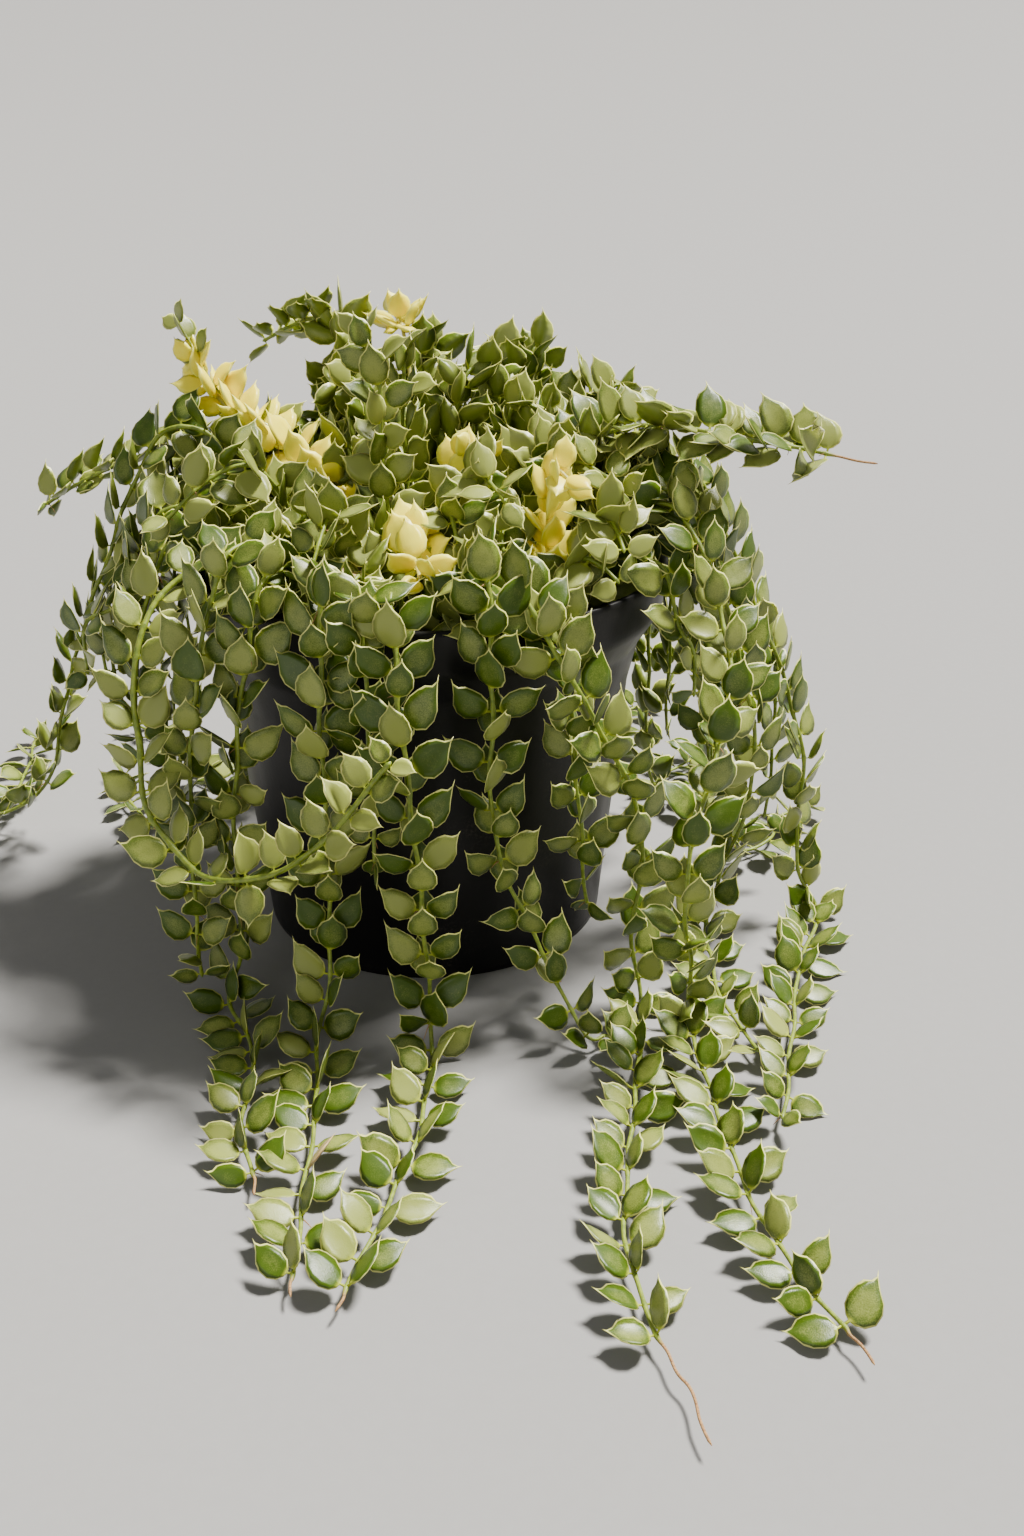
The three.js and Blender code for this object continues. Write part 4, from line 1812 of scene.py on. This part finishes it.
@dataclass(frozen=True)
class LeafyStem:
    """One stem with its pairs of leaves, its joints, its dried end and its young tip.

    number adds to seed and sets its chances, silver is how silvery and so how light its leaves are,
    set higher on stems that face the light and lower on shaded ones, so partly their own tone and
    partly painted light and shade, and tip how far the last pair stands from the end of what bears
    leaves. wander is how far the stem strays from its route and wanders how fast, in radians per
    millimetre. It begins at the first length of steady and does so fully after the second.
    """

    name: str
    route: Route
    tint: Tint
    number: int
    silver: float
    habit: Habit = Habit()
    stem: StemForm = StemForm()
    root: AirRoot = AirRoot()
    step: float = 0.9
    tip: float = 1.0
    seed: int = 700
    wander: float = 0.35
    wanders: Pair = (0.23, 0.19)
    steady: Pair = (14, 10)

    def pairs(self, length: float) -> Array:
        """Works out where the pairs of leaves stand: evenly, or wider towards the end.

        Args:
            length: The stem's length.

        Returns:
            Distances along the stem.
        """
        route = self.route
        last = length - route.bare - self.tip
        count = int(round((last - route.first) / route.spacing)) + 1
        share = np.linspace(0, 1, max(count, 2))
        share = (share + route.stretch * share**2) / (1 + route.stretch)
        return route.first + (last - route.first) * share

    def stand(self, path: Array, reach: Array, marks: Array, rng: np.random.Generator) -> Stand:
        """Works out where the leaves stand, two opposite ones at each mark.

        Args:
            path: The stations along the stem.
            reach: The length up to each of them.
            marks: Where the pairs stand.
            rng: The source of random numbers.

        Returns:
            Where they stand.
        """
        habit = self.habit
        count = len(marks)
        foot = sample(marks, reach, path)
        along = unit(sample(marks, reach, unit(np.gradient(path, axis=0))))
        outward = unit(foot * [1, 1, 0])
        lying = foot[:, 2] < habit.low
        light = UP * np.where(lying, *habit.skyward)[:, None] + habit.outward * outward
        light = light - habit.forward * (1 - outward[:, 1:2]) * [0, 1, 0]
        light = square_to(light + habit.light_spread * rng.normal(size=(count, 3)), along)
        side = np.cross(along, light)
        turn = np.radians(self.route.turned + np.arange(count) % 2 * self.route.fan)
        turn = habit.facing(turn + habit.turn_spread * rng.normal(size=count), lying).ravel()
        living = self.route.bare == 0
        young = np.clip(1 - np.arange(count)[::-1] / habit.young_pairs, 0, 1)[:, None] * living
        foot, along, light, side, lying, young = (
            np.repeat(v, 2, axis=0) for v in (foot, along, light, side, lying[:, None], young)
        )
        return Stand(foot, along, light, side, lying, turn, young)

    def leaves(self, path: Array, reach: Array, rng: np.random.Generator) -> Surface:
        """Grows pairs of opposite leaves, every other pair turned by the route's fan.

        A leaf at the side stands square to the stem, and one in front of or behind it leans along
        it, towards the tip where the stem rises and back from it where it hangs. Leaves look out
        from the pot and up. Where the stem lies on the surface its leaves spread to both sides and
        look towards its tip as well, but one leaf of every other pair stands up beside the stem and
        is turned towards it. The last pairs of a living tip are closed up, and every pair is as far
        as the route says.

        Args:
            path: The stations along the stem.
            reach: The length up to each of them.
            rng: The source of random numbers.

        Returns:
            The leaves as one surface.
        """
        habit, route = self.habit, self.route
        marks = self.pairs(reach[-1])
        stand = self.stand(path, reach, marks, rng)
        count = len(stand.foot)
        axis = habit.axes(stand, route.closed, rng)
        face = habit.faces(stand, axis, route.closed, rng)
        swept = (np.cross(axis, face) * (habit.sweep_up * UP - stand.along)).sum(-1)
        swept = swept * rng.uniform(*habit.sweep, count)
        position = np.repeat(np.arange(len(marks)) / max(len(marks) - 1, 1), 2)
        scale = rng.uniform(*habit.size, count) * (1 - habit.tapering * position**2)
        scale = scale * (1 - habit.young_small * stand.young[:, 0]) * route.size
        leaves = Leaves(stand.foot, stand.lateral, axis, face, scale, swept)
        made = SKINS[self.tint].form.grow(leaves, rng)
        points = len(made.points) // count
        # The stem's silver share sets how light its leaves are: partly their own tone, partly painted light
        # and shade.
        tone = np.clip(self.silver + habit.tone_spread * rng.normal(size=count), 0, 1)
        made.values["tone"] = np.repeat(tone, points)
        made.values["wither"] = np.repeat((rng.random(count) > habit.sound).astype(float), points)
        return made

    def air_roots(self, path: Array, reach: Array, rng: np.random.Generator) -> list[Surface]:
        """Makes short dry roots at a few joints.

        Args:
            path: The stations along the stem.
            reach: The length up to each of them.
            rng: The source of random numbers.

        Returns:
            The roots.
        """
        marks = self.pairs(reach[-1])
        rooted = marks[rng.random(len(marks)) < self.root.share]
        return [self.root.grow(sample(mark, reach, path), rng) for mark in rooted]

    def surfaces(self, ground: Ground) -> list[Surface]:
        """Makes the stem, its leaves and its air roots.

        The stem wanders from its route by wander * (sin(reach * right + number),
        cos(reach * back + 2 * number)).

        Args:
            ground: The heights and distances that routes share.

        Returns:
            The leaves, the stem and the roots.
        """
        rng = np.random.default_rng(self.seed + self.number)
        points = self.route.points(ground)
        path = np.vstack([points[:1], smooth_path(points[1:], self.step)])
        reach = lengths_along(path)
        right, back = self.wanders
        east, north = np.sin(reach * right + self.number), np.cos(reach * back + 2 * self.number)
        begun = np.clip((reach - self.steady[0]) / self.steady[1], 0, 1)[:, None]
        path = path + np.stack([east, north, 0 * reach], 1) * self.wander * begun
        leaves = self.leaves(path, reach, rng)
        stem = self.stem.grow(self.route, path, reach, self.pairs(reach[-1]))
        return [leaves, stem, *self.air_roots(path, reach, rng)]


@dataclass(frozen=True)
class Mound:
    """The small shoots that fill the space between the others, each leaning outwards.

    rise is the mound's height in its middle and what is added to the back and to the right, at the
    distance unit, least the height of the lowest shoot, as a share, reach how far its end is
    outside its foot, and how much less at the back, and fan how many degrees a shoot turns aside,
    and in what steps. A shoot that ends no more than aside, behind and before from a cream one
    would hide it.
    """

    count: int = 84
    golden_angle: float = 137.5
    inner: float = 5
    spread: float = 47
    unit: float = 50
    rise: Triple = (33, 21, 6)
    least: float = 0.6
    reach: Pair = (13, 5)
    fan: Pair = (14, 7)
    droop: float = 5
    size: float = 1.08
    # Set high so that the mound's shoots look lit from above: partly their own tone, partly painted light.
    silver: float = 0.64
    aside: float = 11
    behind: float = 6
    before: float = 22
    extra_number: int = 300
    shoot_number: int = 200

    def route(self, i: int) -> Arching:
        """Works out a shoot's route. Heights go round in steps of fifths, so that neighbours differ.

        Args:
            i: The shoot's number.

        Returns:
            Its route.
        """
        bearing = i * self.golden_angle
        radius = self.inner + self.spread * math.sqrt((i + 0.5) / self.count)
        back = -math.cos(math.radians(bearing)) * radius / self.unit
        right = math.sin(math.radians(bearing)) * radius / self.unit
        middle, backward, rightward = self.rise
        share = self.least + (1 - self.least) * ((i * 7) % 5) / 4
        rise = (middle + backward * back + rightward * right) * share
        end = (bearing + self.fan[0] - self.fan[1] * (i % 5), radius + self.reach[0] - self.reach[1] * back)
        return Arching((bearing, radius), end, rise, self.droop, size=self.size)

    def hides(self, shoot: Arching, other: Arching) -> bool:
        """Tells whether a shoot's end stands close in front of another's.

        Args:
            shoot: The shoot.
            other: The one that it might hide.

        Returns:
            Whether it does.
        """
        end, hidden = at(*shoot.end, 0), at(*other.end, 0)
        aside, ahead = end[0] - hidden[0], hidden[1] - end[1]
        return abs(aside) < self.aside and -self.behind < ahead < self.before

    def shoots(self) -> list[LeafyStem]:
        """Makes the extra stems and the small shoots. The high cream shoot can't be hidden.

        Returns:
            The stems and shoots.
        """
        made = [
            LeafyStem(f"extra_{i}", route, Tint.GREEN, self.extra_number + i, self.silver)
            for i, route in enumerate(EXTRA_STEMS)
        ]
        for i in range(self.count):
            route = self.route(i)
            if not any(self.hides(route, cream) for cream in (LONG_CREAM_SHOOT, *LOW_CREAM_SHOOTS)):
                made.append(LeafyStem(f"filler_{i}", route, Tint.GREEN, self.shoot_number + i, self.silver))
        return made


@dataclass(frozen=True)
class Plant:
    """All the stems and shoots, each standing for its solid, and the mound's small shoots."""

    ground: Ground
    mound: Mound = Mound()

    def stems(self) -> list[LeafyStem]:
        """Makes every stem that has a solid, named as that solid.

        Returns:
            The stems.
        """
        # Silver shares: higher for the loop and the upper shoots, which face the light, and lower for the
        # hanging and trailing stems in shade. So they are partly the stems' own tone and partly painted
        # light and shade.
        kinds = (
            ("trailing_stem", TRAILING, Tint.GREEN, 0.34),
            ("hanging_stem", HANGING, Tint.GREEN, 0.32),
            ("loop_stem", (LOOP,), Tint.GREEN, 0.8),
            ("green_shoot", GREEN_SHOOTS, Tint.GREEN, 0.64),
            ("cream_shoot", CREAM_SHOOTS, Tint.CREAM, 0.6),
        )
        made: list[LeafyStem] = []
        for kind, routes, tint, silver in kinds:
            for i, route in enumerate(routes):
                name = kind if len(routes) == 1 else f"{kind}_{i + 1:02d}"
                made.append(LeafyStem(name, route, tint, len(made), silver))
        return made

    def small_shoots(self) -> dict[str, list[Surface]]:
        """Makes the mound's small shoots, sorted by the side of the pot that they root on.

        Returns:
            The surfaces of each side.
        """
        sides: dict[str, list[Surface]] = {"front": [], "right": [], "back": [], "left": []}
        for shoot in self.mound.shoots():
            x, y, _ = shoot.route.points(self.ground)[0]
            side = list(sides)[round(math.atan2(x, -y) / (math.pi / 2)) % 4]
            sides[side] += shoot.surfaces(self.ground)
        return sides

    def build(self) -> None:
        """Makes every stem, lets it stand for its solid, and fills the mound."""
        materials = {tint: [skin.leaf.material(), skin.stem.material()] for tint, skin in SKINS.items()}
        for stem in self.stems():
            surfaces = stem.surfaces(self.ground)
            piece = make_piece(stem.name + "_leafy", surfaces, materials[stem.tint])
            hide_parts(stem.name)
        for side, surfaces in self.small_shoots().items():
            make_piece(f"small_shoots_{side}", surfaces, materials[Tint.GREEN])


# The studio


@dataclass(frozen=True)
class Lamp:
    """A soft far light that comes from the source's direction and spreads over some degrees."""

    name: str
    source: Triple
    spread: float
    power: float
    colour: Colour

    def build(self) -> None:
        """Puts the light into the scene."""
        data = bpy.data.lights.new(self.name, "SUN")
        data.angle = math.radians(self.spread)
        data.energy = self.power
        data.color = self.colour
        lamp = add_object(self.name, data)
        lamp.rotation_euler = Vector(self.source).to_track_quat("Z", "Y").to_euler()


@dataclass(frozen=True)
class Floor:
    """Plain pale paper, level near the pot and curving up far behind it.

    It reaches side to each side and near to the front, is level for the length level, which
    flat_share of its rows lie on, and then goes run back and rise up. It lies drop below the pot.
    """

    dark: Colour = (0.250, 0.247, 0.242)
    light: Colour = (0.270, 0.267, 0.262)
    grain: float = 3
    roughness: float = 0.85
    side: float = 9000
    near: float = 9000
    level: float = 9900
    flat_share: float = 0.3
    run: float = 3600
    rise: float = 2400
    drop: float = 0.2
    columns: int = 40
    rows: int = 60

    def build(self) -> None:
        """Makes the paper: beyond its level part, y = run * sin(turn) and z = rise * (1 - cos(turn))."""
        sheet = ShaderSheet("floor_paper")
        tone = sheet.blend(sheet.noise(self.grain, detail=4), self.dark, self.light)
        material = sheet.finish({"Base Color": tone, "Roughness": self.roughness})
        x, s = np.meshgrid(np.linspace(-self.side, self.side, self.columns), np.linspace(0, 1, self.rows))
        turn = np.clip((s - self.flat_share) / (1 - self.flat_share), 0, 1) * np.pi / 2
        y = -self.near + self.level * np.minimum(s / self.flat_share, 1) + self.run * np.sin(turn)
        z = self.rise * (1 - np.cos(turn))
        points = np.stack([x, y, z - self.drop], -1).reshape(-1, 3)
        quads = grid_quads(self.rows, self.columns, closed=False)
        mesh = bpy.data.meshes.new("floor")
        mesh.from_pydata((points * MM).tolist(), [], quads.tolist())
        mesh.polygons.foreach_set("use_smooth", np.ones(len(quads), dtype=bool))
        mesh.materials.append(material)
        add_object("floor", mesh)


@dataclass(frozen=True)
class Studio:
    """The floor, soft lights, a plain sky, and the photograph's viewpoint."""

    lens: float = 35.0
    pitch: float = 25.0
    eye: Triple = (22.8, -391.3, 222.6)
    nearest: float = 0.01
    floor: Floor = Floor()
    lamps: tuple[Lamp, ...] = (
        Lamp("key", (0.40, 0.22, 0.88), 12, 12.5, (1.0, 0.97, 0.92)),
        Lamp("fill", (-0.5, -0.9, 0.5), 45, 0.7, (1.0, 0.99, 0.97)),
    )
    sky: Colour = (1.0, 0.99, 0.97)
    sky_power: float = 0.25

    def camera(self) -> None:
        """Sets the camera level across, looking down by the pitch."""
        data = bpy.data.cameras.new("camera")
        data.lens = self.lens
        data.clip_start = self.nearest
        camera = add_object("camera", data)
        camera.location = np.array(self.eye) * MM
        camera.rotation_euler = (math.radians(90 - self.pitch), 0, 0)
        bpy.context.scene.camera = camera

    def build(self) -> None:
        """Sets up camera, floor, lights and sky."""
        self.camera()
        self.floor.build()
        for lamp in self.lamps:
            lamp.build()
        world = bpy.data.worlds.new("studio")
        world.use_nodes = True
        background = world.node_tree.nodes["Background"]
        background.inputs["Color"].default_value = (*self.sky, 1)
        background.inputs["Strength"].default_value = self.sky_power
        bpy.context.scene.world = world
        log.info("studio: floor, %d lights and camera", len(self.lamps))


def main() -> None:
    """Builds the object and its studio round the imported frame."""
    logging.basicConfig(level=logging.INFO, format="%(name)s: %(message)s")
    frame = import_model()
    low, high = (np.array(corner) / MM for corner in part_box("pot"))
    pot = Pot(rim_radius=(high[0] - low[0]) / 2, height=high[2] - low[2])
    Studio().build()
    pot.build()
    mix = PottingMix(pot)
    mix.build()
    Plant(Ground(pot.rim_radius, pot.height, mix.top)).build()


if __name__ == "__main__":
    main()
